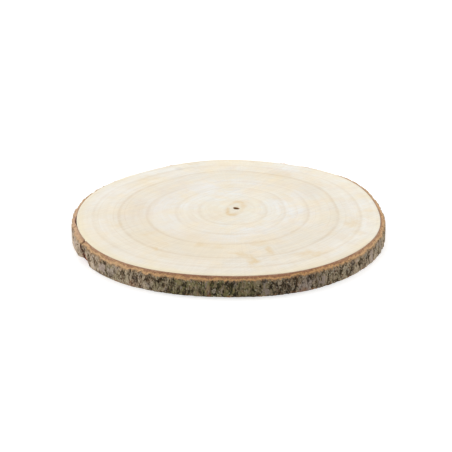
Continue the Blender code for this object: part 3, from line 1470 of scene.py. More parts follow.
    def tones(self, angle: Array) -> dict[str, Array]:
        """Broad colour changes round the rim.

        Args:
            angle: Angles round the rim.

        Returns:
            How green with algae each place is, how pale it has weathered, how far it has
            faded to a warm pink and how rich the colour of its broken edge is.
        """
        def strength(humps: Humps) -> Array:
            total = np.zeros(angle.shape)
            for middle, half, weight in humps:
                turn = np.abs(self.outline.arc(middle, angle)) / self.outline.mean_radius
                total += weight * (1.0 - smooth_step(*self.hump_edge, turn / math.radians(half)))
            return np.clip(total, 0.0, 1.0)

        return {
            "algae": strength(self.algae),
            "pale": strength(self.pale),
            "faded": strength(self.faded),
            "rich": strength(self.rich),
        }


@dataclass
class LooseScales:
    """Small loose scales of outer bark that stand on the ridges."""

    bark: BarkRing
    count: int = 330
    seed: int = 4
    across: Pair = (0.0009, 0.0022)
    tall: Pair = (0.0016, 0.0042)
    body: float = 0.00035
    lift: float = 0.00045
    float_over: float = 0.00010
    cup: float = 0.00012
    thin_edge: float = 0.6
    columns: int = 5
    rows: int = 6
    heights: Pair = (0.0025, 0.0150)
    reach: Pair = (0.0004, 0.0158)
    ragged: Pair = (0.75, 1.0)
    narrow_ends: float = 0.75
    slants: float = 0.35
    deepest: float = 0.25
    crack_room: float = 3.0

    def _faces(self) -> list[tuple[int, ...]]:
        """Faces of one closed scale: outer grid, inner grid and the rim between them.

        Returns:
            Faces, as rows of point numbers.
        """
        columns, rows = self.columns, self.rows
        layer = columns * rows
        faces = []
        for row in range(rows - 1):
            for column in range(columns - 1):
                corner = row * columns + column
                quad = (corner, corner + 1, corner + columns + 1, corner + columns)
                faces.append(quad)
                faces.append(tuple(layer + index for index in reversed(quad)))
        border = list(range(columns))
        border += [row * columns + columns - 1 for row in range(1, rows)]
        border += [(rows - 1) * columns + column for column in range(columns - 2, -1, -1)]
        border += [row * columns for row in range(rows - 2, 0, -1)]
        for here, after in zip(border, border[1:] + border[:1]):
            faces.append((after, here, layer + here, layer + after))
        return faces

    def build(self) -> bpy.types.Object:
        """Build all the scales as one piece.

        Returns:
            The new object.
        """
        draw = random.Random(self.seed)
        pile = MeshPile()
        faces = self._faces()
        across = np.linspace(-1.0, 1.0, self.columns)[None, :]
        up = np.linspace(-1.0, 1.0, self.rows)[:, None]
        made = 0
        while made < self.count:
            angle = draw.uniform(0.0, math.tau)
            height = draw.uniform(*self.heights)
            half_across = draw.uniform(*self.across)
            half_tall = draw.uniform(*self.tall)
            free_end = draw.choice((-1.0, 1.0))
            ragged = np.array([draw.uniform(*self.ragged) for _ in range(self.rows)])[:, None]
            slant = draw.uniform(-self.slants, self.slants)
            _, furrow = self.bark.face(np.array([angle]), np.array([height]))
            broken = self.bark.torn(np.array([angle]), np.array([height]))[0]
            cracked = max(self.bark.crack_share(c, angle, height, self.crack_room)
                          for c in self.bark.cracks)
            if furrow[0] > self.deepest or broken > 0.0 or cracked > 0.0:
                continue
            made += 1
            oval = ragged * np.sqrt(1.0 - self.narrow_ends * up ** 2)
            offset = across * half_across * oval + slant * up * half_across
            angles = angle + offset / self.bark.outline.mean_radius
            heights = np.clip(height + up * half_tall + 0.0 * across, *self.reach)
            ground, _ = self.bark.face(angles, heights)
            smooth_ground = 0.5 * ground + 0.5 * ground.max()
            end = smooth_step(0.1, 1.0, up * free_end)
            outer = smooth_ground + self.float_over + self.lift * end - self.cup * across ** 2
            outer = np.minimum(outer, self.bark.fullest(angles))
            under = outer - self.body * (1.0 - self.thin_edge * np.abs(across) ** 3)
            points = np.concatenate([
                self.bark.outline.points(angles, outer, heights).reshape(-1, 3),
                self.bark.outline.points(angles, under, heights).reshape(-1, 3),
            ])
            pile.add(points, faces, tone=draw.random(), **self.bark.tones(np.array([angle])))
        return pile.build("bark_scales")


@dataclass
class LichenCrusts:
    """Pale lichen crusts with lobed edges that grow flat on the bark."""

    bark: BarkRing
    seed: int = 9
    rings: int = 6
    sides: int = 34
    body: float = 0.00022
    placed: tuple[tuple[float, float, float], ...] = (
        (264.4, 0.0060, 0.0020),
        (307.6, 0.0140, 0.0014),
        (313.0, 0.0112, 0.0023),
        (314.8, 0.0088, 0.0013),
        (325.6, 0.0128, 0.0021),
        (333.2, 0.0098, 0.0022),
        (338.6, 0.0070, 0.0018),
        (229.5, 0.0105, 0.0012),
    )
    scattered: int = 26
    heights: Pair = (0.003, 0.0145)
    radii: Pair = (0.0004, 0.0011)
    reach: Pair = (0.0003, 0.0160)
    lobes: tuple[tuple[int, float], ...] = ((2, 0.16), (3, 0.12), (7, 0.10), (11, 0.07))
    tallness: float = 1.15
    middle_rise: float = 0.75
    edge_rise: float = 0.45
    skirt_share: float = 1.04
    skirt_drop: float = 2.2
    settled: float = 0.6

    def _faces(self) -> list[tuple[int, ...]]:
        """Faces of one crust: a fan in the middle, rings round it and a skirt.

        Returns:
            Faces, as rows of point numbers.
        """
        sides = self.sides
        faces = [(0, 1 + side, 1 + (side + 1) % sides) for side in range(sides)]
        for ring in range(self.rings):
            for side in range(sides):
                after = (side + 1) % sides
                low, high = 1 + ring * sides, 1 + (ring + 1) * sides
                faces.append((low + side, high + side, high + after, low + after))
        return faces

    def build(self) -> bpy.types.Object:
        """Build all the crusts as one piece.

        Returns:
            The new object.
        """
        draw = random.Random(self.seed)
        spots = [(math.radians(a), z, r) for a, z, r in self.placed]
        for _ in range(self.scattered):
            turn = draw.uniform(0.0, math.tau)
            spots.append((turn, draw.uniform(*self.heights), draw.uniform(*self.radii)))
        pile = MeshPile()
        faces = self._faces()
        steps = np.linspace(0.0, math.tau, self.sides, endpoint=False)
        for angle, height, radius in spots:
            lobes = np.ones(self.sides)
            for waves, depth in self.lobes:
                lobes += depth * np.cos(waves * steps + draw.uniform(0.0, math.tau))
            shares = [*np.linspace(0.2, 1.0, self.rings), self.skirt_share]
            across, up, rise = [np.zeros(1)], [np.zeros(1)], [np.full(1, self.middle_rise)]
            for share in shares:
                across.append(radius * share * lobes * np.cos(steps))
                up.append(radius * share * lobes * np.sin(steps) * self.tallness)
                crown = self.middle_rise + self.edge_rise * share
                rise.append(np.full(self.sides, -self.skirt_drop if share > 1.0 else crown))
            across, up, rise = (np.concatenate(part) for part in (across, up, rise))
            angles = angle + across / self.bark.outline.mean_radius
            heights = np.clip(height + up, *self.reach)
            ground, _ = self.bark.face(angles, heights)
            ground = self.settled * ground + (1.0 - self.settled) * np.median(ground)
            surface = np.minimum(ground + self.body * rise, self.bark.fullest(angles))
            points = self.bark.outline.points(angles, surface, heights)
            crown = np.clip(rise / (self.middle_rise + self.edge_rise), 0.0, 1.0)
            pile.add(points, faces, crown=crown, tone=draw.random())
        return pile.build("lichen_crusts")


@dataclass
class TornFibres:
    """Short torn fibres of cork along the broken edge, in the slit and in the cracks."""

    bark: BarkRing
    count: int = 620
    seed: int = 12
    length: Pair = (0.0007, 0.0021)
    width: Pair = (0.00012, 0.00030)
    places: Pair = (0.62, 1.0)
    edge_slope: float = 0.42
    outward: float = 0.55
    leans: float = 0.7
    tilts: Pair = (-0.55, 0.15)
    rooted: float = 0.4
    sunk: float = 0.3
    rings: tuple[Pair, ...] = ((0.0, 1.0), (0.6, 0.75))
    corners: tuple[float, ...] = (0.5, 2.6, 4.7)

    def build(self) -> bpy.types.Object:
        """Build all the fibres as one piece.

        Returns:
            The new object.
        """
        draw = random.Random(self.seed)
        pile = MeshPile()
        sides = [(0, 1, 4, 3), (1, 2, 5, 4), (2, 0, 3, 5)]
        faces = [(0, 2, 1), *sides, (3, 4, 6), (4, 5, 6), (5, 3, 6)]
        for _ in range(self.count):
            angle = draw.uniform(0.0, math.tau)
            here = np.array([angle])
            edge = self.bark.edge_height(here)[0]
            rim, _ = self.bark.face(here, np.array([edge]))
            inner = self.bark.inner(here)[0]
            share = draw.uniform(*self.places)
            length = draw.uniform(*self.length)
            width = draw.uniform(*self.width)
            radius = inner + share * (rim[0] - inner)
            height = edge + (1.0 - share) * self.edge_slope * (self.bark.thickness - edge)
            lean = draw.uniform(-self.leans, self.leans)
            out = Vector((math.cos(angle), math.sin(angle), 0.0))
            along = Vector((-out.y, out.x, 0.0))
            tilt = Vector((0.0, 0.0, draw.uniform(*self.tilts)))
            grow = (out * self.outward + along * lean + tilt).normalized()
            side = grow.cross(Vector((0.0, 0.0, 1.0))).normalized()
            rise = side.cross(grow).normalized()
            base = Vector(self.bark.outline.points(here, np.array([radius]), np.array([height]))[0])
            base -= grow * self.rooted * length + rise * self.sunk * width
            points = []
            for place, thick in self.rings:
                for turn in self.corners:
                    shift = side * math.cos(turn) + rise * math.sin(turn)
                    points.append(base + grow * length * place + shift * width * thick)
            points.append(base + grow * length)
            full = self.bark.fullest(here)[0]
            centre = Vector((*self.bark.outline.centre, 0.0))
            held = []
            for point in points:
                reach = math.hypot(point.x - centre.x, point.y - centre.y)
                pull = min(1.0, full / reach)
                held.append((centre.x + (point.x - centre.x) * pull,
                             centre.y + (point.y - centre.y) * pull,
                             min(point.z, self.bark.thickness)))
            pile.add(np.array(held), faces, tone=draw.random())
        return pile.build("torn_fibres")


@dataclass(frozen=True)
class SawnWoodFinish:
    """Bare pale timber, sawn and lightly sanded, brown where the pith was."""

    effects: Effects
    zones: Stops = (
        (0.00, (237, 232, 216)),
        (0.10, (241, 239, 227)),
        (0.24, (241, 241, 235)),
        (0.36, (241, 241, 238)),
        (0.52, (239, 236, 230)),
        (0.60, (237, 231, 217)),
        (0.72, (237, 231, 217)),
        (0.80, (244, 240, 230)),
        (0.90, (245, 243, 236)),
        (0.97, (244, 241, 231)),
        (1.00, (243, 236, 219)),
    )
    line: Tint = Tint((208, 184, 150), 0.30)
    late: Tint = Tint((232, 219, 196), 0.20)
    bands: Tint = Tint((232, 219, 196), 0.34)
    amber: Tint = Tint((227, 200, 150), 0.85)
    brown: Tint = Tint((220, 200, 184), 0.42)
    grey: Tint = Tint((196, 188, 180), 0.45)
    heart: Tint = Tint((222, 188, 128), 0.80)
    # Painted shade: a warmer, darker tint on the front of the sawn face
    front_shade: Tint = Tint((234, 221, 199), 0.34)
    rim: Tint = Tint((247, 233, 188), 0.38)
    cool: Tint = Tint((233, 231, 228), 0.26)
    cool_patches: Patches = Patches(0.040, 0.36, 0.64)
    drifts: tuple[tuple[Patches, Tint, float, float], ...] = (
        (Patches(0.062, 0.44, 0.60), Tint((245, 229, 196), 0.38), 1.0, 1.7),
        (Patches(0.026, 0.46, 0.68), Tint((245, 229, 196), 0.46), 1.0, 0.9),
        (Patches(0.014, 0.48, 0.70), Tint((235, 219, 204), 0.32), 1.3, 2.1),
        (Patches(0.007, 0.46, 0.68), Tint((245, 229, 196), 0.15), 1.0, 3.3),
    )
    scuffs: Patches = Patches(0.05, 0.40, 0.60, 0.4)
    clouds: Patches = Patches(0.030, 0.30, 0.70, 0.62)
    stain_edges: Patches = Patches(0.0065, 0.30, 0.62, 0.65)
    pith_colour: Colour = (172, 128, 82)
    pith_dark: Colour = (112, 76, 44)
    ring_wobble: float = 2.6
    pore_depth: float = 0.13
    cloud_depth: float = 0.034
    roughness: float = 0.66
    specular: float = 0.28

    def make(self) -> bpy.types.Material:
        """Build the material.

        Returns:
            The new material.
        """
        surface = Surface("sawn_timber", self.effects)
        share = surface.value("share")
        spoke = surface.joined(surface.value("spoke_x"), surface.value("spoke_y"), share)
        colour = surface.ramp(share, self.zones)
        colour = self._drifts(surface, colour)
        colour, late = self._rings(surface, colour, spoke)
        rays = surface.fibres(1.0, 2.7, surface.stretched(spoke, (70.0, 70.0, 3.0)))
        saw = surface.fibres(1.0, 2.3, surface.stretched(
            surface.here, (14.0, 820.0, 60.0), math.radians(-42.0)))
        pores = surface.pits(0.0011, 0.34, surface.stretched(surface.here, (1.0, 1.0, 0.05)))
        tone = self._tone(surface, rays, saw, pores, late)
        colour = surface.scaled(colour, surface.math("ADD", tone, 1.0))
        colour = self._stains(surface, colour)
        rough = surface.weighed(tone, -1.2, self.roughness, clamp=True)
        height = self._relief(surface, saw, pores)
        return surface.finish(colour, rough, self.specular, height, 0.35, 0.00012)

    def _drifts(self, surface: Surface, colour: object) -> Socket:
        """Broad changes of colour over the sawn face, and painted shade on its front side.

        Args:
            surface: Material to add to.
            colour: Colour of the growth zones.

        Returns:
            The changed colour's socket.
        """
        colour = surface.tinted(colour, surface.blotches(self.cool_patches), self.cool)
        for patches, tint, stretch, turn in self.drifts:
            turned = surface.stretched(surface.here, (1.0, stretch, 0.2), turn)
            colour = surface.tinted(colour, surface.blotches(patches, turned), tint)
        across, away, _ = surface.split(surface.here)
        # Painted shade: the front of the face is tinted warmer and darker than its back, where more
        # light and sheen fall. The yellow rim stain shows only on that front side.
        front_shade = surface.spread(surface.weighed(across, 0.55, away), 0.10, -0.16)
        colour = surface.tinted(colour, front_shade, self.front_shade)
        rim = surface.times(surface.spread(surface.value("share"), 0.93, 1.0), front_shade)
        return surface.tinted(colour, rim, self.rim)

    def _rings(self, surface: Surface, colour: object, spoke: object) -> tuple[Socket, Socket]:
        """Lines and soft bands of the yearly growth.

        Args:
            surface: Material to add to.
            colour: Colour under the rings.
            spoke: Direction from the pith and share of the way to the rim.

        Returns:
            The colour with rings, and how far each place lies in late wood.
        """
        bands = surface.fibres(1.0, 2.6, surface.stretched(spoke, (0.9, 0.9, 26.0)))
        colour = surface.tinted(colour, surface.spread(bands, 0.36, 0.66), self.bands)
        gap, strength = surface.value("ring_gap"), surface.value("ring_strength")
        wobble = surface.fibres(1.0, 5.0, surface.stretched(spoke, (9.0, 9.0, 30.0)))
        moved = surface.swayed(gap, wobble, self.ring_wobble)
        line = surface.times(surface.spread(moved, -3.6, -0.3), surface.spread(moved, 2.4, 0.3))
        uneven = surface.spread(wobble, 0.34, 0.60, 0.40, 1.0)
        line = surface.times(line, surface.times(strength, uneven))
        late = surface.times(surface.spread(moved, -7.0, -0.2), surface.spread(moved, 0.8, -0.2))
        late = surface.times(late, strength)
        colour = surface.tinted(colour, late, self.late)
        return surface.tinted(colour, line, self.line), late

    def _tone(self, surface: Surface, rays: object, saw: object, pores: object,
              late: object) -> Socket:
        """Fine lighter and darker marks.

        Args:
            surface: Material to add to.
            rays: Noise of the wood rays.
            saw: Noise of the saw marks.
            pores: Mask of the pores.
            late: How far each place lies in late wood.

        Returns:
            Change of brightness, where 0.1 is a tenth lighter.
        """
        scuffed = surface.weighed(surface.blotches(self.scuffs), 0.7, 0.3)
        marks = surface.times(surface.spread(saw, 0.32, 0.68, -0.060, 0.038), scuffed)
        tone = surface.math("ADD", surface.spread(rays, 0.30, 0.70, -0.020, 0.020), marks)
        dots = surface.times(pores, surface.weighed(late, 0.5, 0.12))
        tone = surface.swayed(tone, surface.blotches(self.clouds), self.cloud_depth)
        return surface.weighed(dots, -self.pore_depth, tone)

    def _stains(self, surface: Surface, colour: object) -> Socket:
        """Stains on the face and the brown pith.

        Args:
            surface: Material to add to.
            colour: Colour under the stains.

        Returns:
            The colour with stains.
        """
        torn = surface.weighed(surface.blotches(self.stain_edges), 0.65, 0.35)
        colour = surface.tinted(colour, surface.times(surface.value("amber"), torn), self.amber)
        colour = surface.tinted(colour, surface.times(surface.value("brown"), torn), self.brown)
        colour = surface.tinted(colour, surface.value("grey"), self.grey)
        colour = surface.tinted(colour, surface.times(surface.value("heart"), torn), self.heart)
        lining = surface.two_tone(surface.pits(0.0007, 0.6), self.pith_colour, self.pith_dark)
        return surface.mix(surface.spread(surface.value("pith"), 0.25, 0.9), colour, lining)

    def _relief(self, surface: Surface, saw: object, pores: object) -> Socket:
        """Height of the fine relief, deeper on the underside.

        Args:
            surface: Material to add to.
            saw: Noise of the saw marks.
            pores: Mask of the pores.

        Returns:
            The height's socket.
        """
        ripple = surface.fibres(1.0, 1.9, surface.stretched(
            surface.here, (6.0, 520.0, 30.0), math.radians(18.0)))
        height = surface.weighed(saw, 0.6, surface.times(pores, -0.5))
        under = surface.weighed(surface.value("under"), 1.6, 0.2)
        return surface.weighed(ripple, under, height)


@dataclass(frozen=True)
class BarkFinish:
    """Weathered bark: brown inner layer, tan cork and a furrowed grey-brown outside, with painted
    shade in its furrows, fissures and cracks.
    """

    effects: Effects
    layers: Stops = (
        (0.00, (190, 156, 126)),
        (0.10, (172, 131, 102)),
        (0.28, (180, 142, 110)),
        (0.40, (196, 156, 118)),
        (0.52, (216, 177, 134)),
        (0.74, (217, 179, 134)),
        (0.90, (200, 165, 127)),
        (1.00, (166, 140, 110)),
    )
    rich_layers: Stops = (
        (0.00, (184, 144, 114)),
        (0.10, (161, 116, 89)),
        (0.28, (165, 120, 91)),
        (0.40, (182, 136, 96)),
        (0.52, (208, 162, 112)),
        (0.74, (210, 164, 112)),
        (0.90, (189, 148, 104)),
        (1.00, (154, 125, 94)),
    )
    # Colours from ridge to deep furrow: partly the bark's own darker colour, partly painted shade
    # in the furrows
    plain_shaded_depths: Stops = ((0.0, (134, 118, 97)), (0.38, (94, 82, 63)), (0.92, (46, 38, 27)))
    pale_shaded_depths: Stops = ((0.0, (194, 177, 155)), (0.38, (158, 138, 114)), (0.92, (76, 59, 42)))
    algae_shaded_depths: Stops = ((0.0, (112, 109, 66)), (0.38, (112, 109, 66)), (0.92, (42, 41, 24)))
    bare_colour: Colour = (163, 147, 137)
    bare_fleck: Colour = (94, 82, 63)
    torn_colour: Colour = (158, 92, 62)
    torn_dark: Colour = (98, 54, 36)
    lilac: Tint = Tint((160, 146, 139), 0.62)
    specks: Tint = Tint((192, 182, 160), 0.72)
    moss: Tint = Tint((152, 144, 98), 0.55)
    rust: Tint = Tint((156, 106, 68), 0.20)
    rust_specks: Tint = Tint((156, 106, 68), 0.32)
    worn_foot: Tint = Tint((156, 106, 68), 0.60)
    # Painted shadow in the cracks, dark reddish brown
    crack: Tint = Tint((80, 44, 30), 0.94)
    faded_cut: Tint = Tint((208, 176, 148), 0.58)
    faded_wall: Tint = Tint((222, 199, 176), 0.52)
    slit: Tint = Tint((176, 132, 126), 0.8)
    streaks: Tint = Tint((120, 84, 60), 0.62)
    mottle: Patches = Patches(0.0036, 0.34, 0.66, 0.62)
    flecks: Patches = Patches(0.0013, 0.38, 0.62, 0.75)
    broad: Patches = Patches(0.0085, 0.34, 0.66, 0.6)
    pale_patches: Patches = Patches(0.016, 0.38, 0.62)
    algae_patches: Patches = Patches(0.0052, 0.40, 0.60, 0.7)
    lilac_patches: Patches = Patches(0.0090, 0.57, 0.64, 0.55)
    speck_patches: Patches = Patches(0.0060, 0.46, 0.60, 0.7)
    rust_patches: Patches = Patches(0.0068, 0.58, 0.68, 0.6)
    rust_flecks: Patches = Patches(0.0026, 0.58, 0.68, 0.7)
    bare_flecks: Patches = Patches(0.0019, 0.40, 0.66, 0.7)
    foot_patches: Patches = Patches(0.0075, 0.52, 0.60, 0.7)
    torn_patches: Patches = Patches(0.003, 0.35, 0.65)
    cut_broad: Patches = Patches(0.0085, 0.30, 0.70)
    cut_fine: Patches = Patches(0.0016, 0.30, 0.70, 0.75)
    grit: Patches = Patches(0.0009, 0.25, 0.75, 0.7)
    scale_grit: Patches = Patches(0.0008, 0.25, 0.75, 0.7)
    tallness: float = 0.40
    roughness: float = 0.93
    specular: float = 0.18

    def make(self) -> bpy.types.Material:
        """Build the material of the ring of bark.

        Returns:
            The new material.
        """
        surface = Surface("weathered_bark", self.effects)
        layer, wall = surface.value("layer"), surface.value("wall")
        outside = self._outside(surface, surface.value("furrow"), surface.value("algae"),
                                surface.value("pale"))
        outside = self._marks(surface, outside)
        colour = surface.mix(wall, self._cut(surface, layer), outside)
        # Painted shadow of the cracks.
        crack = surface.spread(surface.value("crack"), 0.08, 0.42)
        colour = surface.tinted(colour, crack, self.crack)
        height = surface.weighed(surface.pits(0.0012, 0.5), -0.5, surface.blotches(self.grit))
        return surface.finish(colour, self.roughness, self.specular, height, 0.6, 0.0004)

    def make_scales(self) -> bpy.types.Material:
        """Build the material of the loose scales.

        Returns:
            The new material.
        """
        surface = Surface("loose_bark_scales", self.effects)
        worn = surface.spread(surface.value("tone"), 0.0, 1.0, 0.05, 0.55)
        colour = self._outside(surface, worn, surface.value("algae"), surface.value("pale"))
        grit = surface.blotches(self.scale_grit)
        return surface.finish(colour, self.roughness, self.specular, grit, 0.5, 0.0003)

    def _outside(self, surface: Surface, furrow: object, algae: object, pale: object) -> Socket:
        """Colour of the weathered outer face.

        Args:
            surface: Material to add to.
            furrow: How dark each place is painted for its furrow: own colour and painted shade.
            algae: How green with algae it is.
            pale: How pale it has weathered.

        Returns:
            The colour's socket.
        """
        tall = surface.stretched(surface.here, (1.0, 1.0, self.tallness))
        aside, apart, askew = (surface.stretched(tall, (1.0, 1.0, 1.0), turn)
                               for turn in (1.1, 0.7, 2.3))
        depth = surface.swayed(furrow, surface.blotches(self.broad, tall), 0.62)
        depth = surface.swayed(depth, surface.blotches(self.mottle, tall), 0.92)
        depth = surface.swayed(depth, surface.blotches(self.flecks, tall), 1.00, clamp=True)
        # Darker in the furrows: partly the bark's own colour, partly painted shade.
        colour = surface.ramp(depth, self.plain_shaded_depths)
        drift = surface.weighed(surface.blotches(self.pale_patches), 0.30, 0.78)
        paler = surface.ramp(depth, self.pale_shaded_depths)
        colour = surface.mix(surface.times(pale, drift, clamp=True), colour, paler)
        patchy = surface.weighed(surface.blotches(self.algae_patches), 0.72, 0.16)
        green = surface.ramp(depth, self.algae_shaded_depths)
        colour = surface.mix(surface.times(algae, patchy), colour, green)
        raised = surface.spread(depth, 0.75, 0.15, 0.15, 1.0)
        warmed = surface.times(surface.value("faded"), raised)
        colour = surface.tinted(colour, warmed, self.faded_wall)
        lilac = surface.times(surface.blotches(self.lilac_patches, aside), raised)
        colour = surface.tinted(colour, lilac, self.lilac)
        specks = surface.times(surface.spread(surface.pits(0.0026, 0.46), 0.1, 0.6),
                               surface.blotches(self.speck_patches))
        colour = surface.tinted(colour, specks, self.specks)
        moss = surface.spread(surface.pits(0.0018, 0.50, apart), 0.1, 0.7)
        moss = surface.times(moss, surface.times(algae, raised))
        colour = surface.tinted(colour, moss, self.moss)
        colour = surface.tinted(colour, surface.blotches(self.rust_patches, tall), self.rust)
        return surface.tinted(colour, surface.blotches(self.rust_flecks, askew), self.rust_specks)

    def _marks(self, surface: Surface, colour: object) -> Socket:
        """Smooth bare places, the worn foot and the places where bark has broken away.

        Args:
            surface: Material to add to.
            colour: Colour of the weathered face.

        Returns:
            The marked colour's socket.
        """
        fleck = surface.times(surface.blotches(self.bare_flecks), 0.45)
        bare = surface.two_tone(fleck, self.bare_colour, self.bare_fleck)
        bare = surface.scaled(bare, surface.weighed(surface.value("pale"), 0.50, 0.72))
        colour = surface.mix(surface.times(surface.value("bare"), 0.85), colour, bare)
        foot = surface.spread(surface.split(surface.here)[2], 0.0032, 0.0008)
        worn = surface.times(foot, surface.blotches(self.foot_patches))
        colour = surface.tinted(colour, worn, self.worn_foot)
        torn = surface.two_tone(surface.blotches(self.torn_patches), self.torn_colour,
                                self.torn_dark)
        return surface.mix(surface.value("torn"), colour, torn)

    def _cut(self, surface: Surface, layer: object) -> Socket:
        """Colour of the broken edge, from the inner bark out to the cork.

        Args:
            surface: Material to add to.
            layer: How far out through the bark each place lies.

        Returns:
            The colour's socket.
        """
        rim = surface.node("ShaderNodeVectorMath", operation="NORMALIZE")
        surface.feed(rim.inputs[0], surface.stretched(surface.here, (1.0, 1.0, 0.0)))
        along = surface.node("ShaderNodeVectorMath", operation="MULTIPLY_ADD")
        surface.feed(along.inputs[0], rim.outputs[0])
        along.inputs[1].default_value = (42.0, 42.0, 0.0)
        across = surface.joined(None, None, surface.times(layer, 5.0))
        surface.feed(along.inputs[2], across)
        moved = surface.swayed(layer, surface.blotches(self.cut_broad), 0.40)
        moved = surface.swayed(moved, surface.blotches(self.cut_fine), 0.30, clamp=True)
        plain, rich = (surface.ramp(moved, stops) for stops in (self.layers, self.rich_layers))
        colour = surface.mix(surface.value("rich"), plain, rich)
        streak = surface.spread(surface.fibres(1.0, 3.2, along.outputs[0]), 0.50, 0.62)
        colour = surface.tinted(colour, streak, self.streaks)
        colour = surface.tinted(colour, surface.value("faded"), self.faded_cut)
        return surface.tinted(colour, surface.spread(layer, 0.035, 0.0), self.slit)


@dataclass(frozen=True)
class LichenFinish:
    """Pale grey-brown lichen, darker and rougher towards the middle of a crust."""

    effects: Effects
    edge_colour: Colour = (172, 162, 141)
    middle_colour: Colour = (112, 104, 82)
    grey: Tint = Tint((142, 131, 120), 0.6)
    speckles: Patches = Patches(0.0011, 0.35, 0.65, 0.7)

    def make(self) -> bpy.types.Material:
        """Build the material.

        Returns:
            The new material.
        """
        surface = Surface("grey_lichen", self.effects)
        speckle = surface.blotches(self.speckles)
        rim = surface.spread(surface.value("crown"), 0.62, 1.0)
        crown = surface.swayed(rim, speckle, 0.7, clamp=True)
        colour = surface.two_tone(crown, self.middle_colour, self.edge_colour)
        colour = surface.tinted(colour, surface.value("tone"), self.grey)
        height = surface.weighed(surface.pits(0.0008, 0.6), -0.6, speckle)
        return surface.finish(colour, 0.95, 0.15, height, 0.6, 0.0003)


@dataclass(frozen=True)
class CorkFibreFinish:
    """Torn cork fibres, tan with darker strands."""

    effects: Effects
    light_colour: Colour = (216, 176, 130)
    dark_colour: Colour = (150, 112, 80)

    def make(self) -> bpy.types.Material:
        """Build the material.

        Returns:
            The new material.
        """
        surface = Surface("torn_cork", self.effects)
        streak = surface.fibres(700.0, 2400.0)
        tone = surface.swayed(surface.value("tone"), streak, 0.8, clamp=True)
        colour = surface.two_tone(tone, self.dark_colour, self.light_colour)
        return surface.finish(colour, 0.88, 0.2, streak, 0.5, 0.0002)


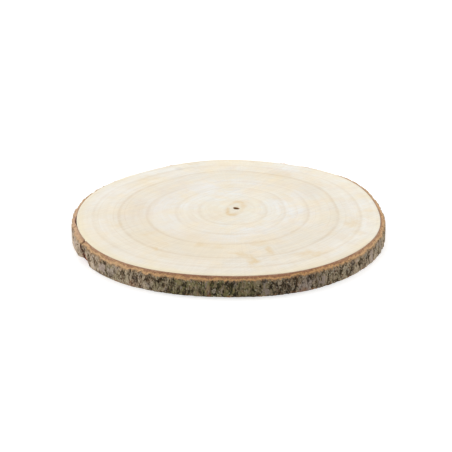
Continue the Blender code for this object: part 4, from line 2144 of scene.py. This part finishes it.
@dataclass
class Studio:
    """White floor, soft lights and the camera that looks down at the slice."""

    outline: Outline
    thickness: float
    elevation: float = math.radians(23.08)
    distance: float = 1.5
    focal_pixels: float = 1441.5
    frame_pixels: float = 452.0
    sensor: float = 36.0
    aim: Pair = (-0.0040, -0.0109)
    floor_half: float = 12.0
    floor_grey: float = 0.82
    floor_glow: float = 0.42
    ambient: float = 0.50
    backdrop: float = 1.05
    lights: tuple[tuple[str, Place, float, float], ...] = (
        ("top_light", (0.10, 0.70, 2.10), 2.2, 15.3),
        ("left_light", (-1.90, 0.30, 0.90), 1.5, 21.0),
        ("right_light", (1.90, 0.30, 0.90), 1.5, 15.7),
    )

    def build(self) -> None:
        """Add the floor, the lights, the sky and the camera."""
        self._camera()
        self._floor()
        self._sky()
        for light in self.lights:
            self._light(*light)
        bpy.context.scene.view_settings.view_transform = "Standard"

    def _camera(self) -> None:
        """Add the camera at the photograph's viewing angle."""
        data = bpy.data.cameras.new("camera")
        data.sensor_width = self.sensor
        data.lens = self.focal_pixels / self.frame_pixels * self.sensor
        data.clip_start = 0.05
        data.clip_end = 60.0
        camera = bpy.data.objects.new("camera", data)
        bpy.context.scene.collection.objects.link(camera)
        x, y = (self.outline.centre[i] + self.aim[i] for i in (0, 1))
        target = Vector((x, y, self.thickness / 2.0))
        back = Vector((0.0, -math.cos(self.elevation), math.sin(self.elevation)))
        camera.location = target + back * self.distance
        camera.rotation_euler = (-back).to_track_quat("-Z", "Y").to_euler()
        bpy.context.scene.camera = camera

    def _floor(self) -> None:
        """Add the white floor."""
        half = self.floor_half
        mesh = bpy.data.meshes.new("floor")
        corners = [(-half, -half, 0.0), (half, -half, 0.0), (half, half, 0.0), (-half, half, 0.0)]
        mesh.from_pydata(corners, [], [(0, 1, 2, 3)])
        floor = bpy.data.objects.new("floor", mesh)
        bpy.context.scene.collection.objects.link(floor)
        material = bpy.data.materials.new("white_floor")
        material.use_nodes = True
        shader = material.node_tree.nodes["Principled BSDF"]
        shader.inputs["Base Color"].default_value = (*[self.floor_grey] * 3, 1.0)
        shader.inputs["Roughness"].default_value = 0.8
        shader.inputs["Specular IOR Level"].default_value = 0.0
        shader.inputs["Emission Color"].default_value = (1.0, 1.0, 1.0, 1.0)
        shader.inputs["Emission Strength"].default_value = self.floor_glow
        mesh.materials.append(material)

    def _sky(self) -> None:
        """Add even white light from all round, with a white backdrop behind."""
        world = bpy.data.worlds.new("studio_sky")
        world.use_nodes = True
        graph = Graph(world.node_tree)
        background = world.node_tree.nodes["Background"]
        background.inputs["Color"].default_value = (1.0, 1.0, 1.0, 1.0)
        seen = graph.node("ShaderNodeLightPath").outputs["Is Camera Ray"]
        strength = graph.weighed(seen, self.backdrop - self.ambient, self.ambient)
        graph.feed(background.inputs["Strength"], strength)
        bpy.context.scene.world = world

    def _light(self, name: str, place: Place, size: float, power: float) -> None:
        """Add a square soft light that faces the slice.

        Args:
            name: Name of the light.
            place: Where it stands.
            size: Length of its side.
            power: Power in watts.
        """
        data = bpy.data.lights.new(name, "AREA")
        data.size = size
        data.energy = power
        lamp = bpy.data.objects.new(name, data)
        lamp.location = place
        lamp.rotation_euler = (-Vector(place)).to_track_quat("-Z", "Y").to_euler()
        bpy.context.scene.collection.objects.link(lamp)


def settle(piece: bpy.types.Object, material: bpy.types.Material, slot: str,
           *replaced: str) -> None:
    """Dress a piece, let it ride on the slice and report it.

    Args:
        piece: The piece.
        material: Its material.
        slot: The record's material slot; not used.
        *replaced: Nodes that the piece stands for.
    """
    piece.data.materials.append(material)
    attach(piece, BODY)
    if replaced:
        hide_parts(*replaced)
    LOG.info("%s: %d faces", piece.name, len(piece.data.polygons))


def main() -> None:
    """Build the slice and its studio."""
    logging.basicConfig(level=logging.INFO, format="%(message)s")
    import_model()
    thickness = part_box("wood")[1].z
    outline = Outline()
    effects = Effects()
    studio = Studio(outline, thickness)
    studio.build()
    wood = WoodDisc(outline, thickness)
    settle(wood.build(), SawnWoodFinish(effects).make(), "sawn_wood", "wood")
    bark = BarkRing(outline, thickness)
    finish = BarkFinish(effects)
    settle(bark.build(), finish.make(), "weathered_bark", "bark")
    settle(LooseScales(bark).build(), finish.make_scales(), "weathered_bark")
    settle(LichenCrusts(bark).build(), LichenFinish(effects).make(), "weathered_bark")
    settle(TornFibres(bark).build(), CorkFibreFinish(effects).make(), "weathered_bark")


if __name__ == "__main__":
    main()
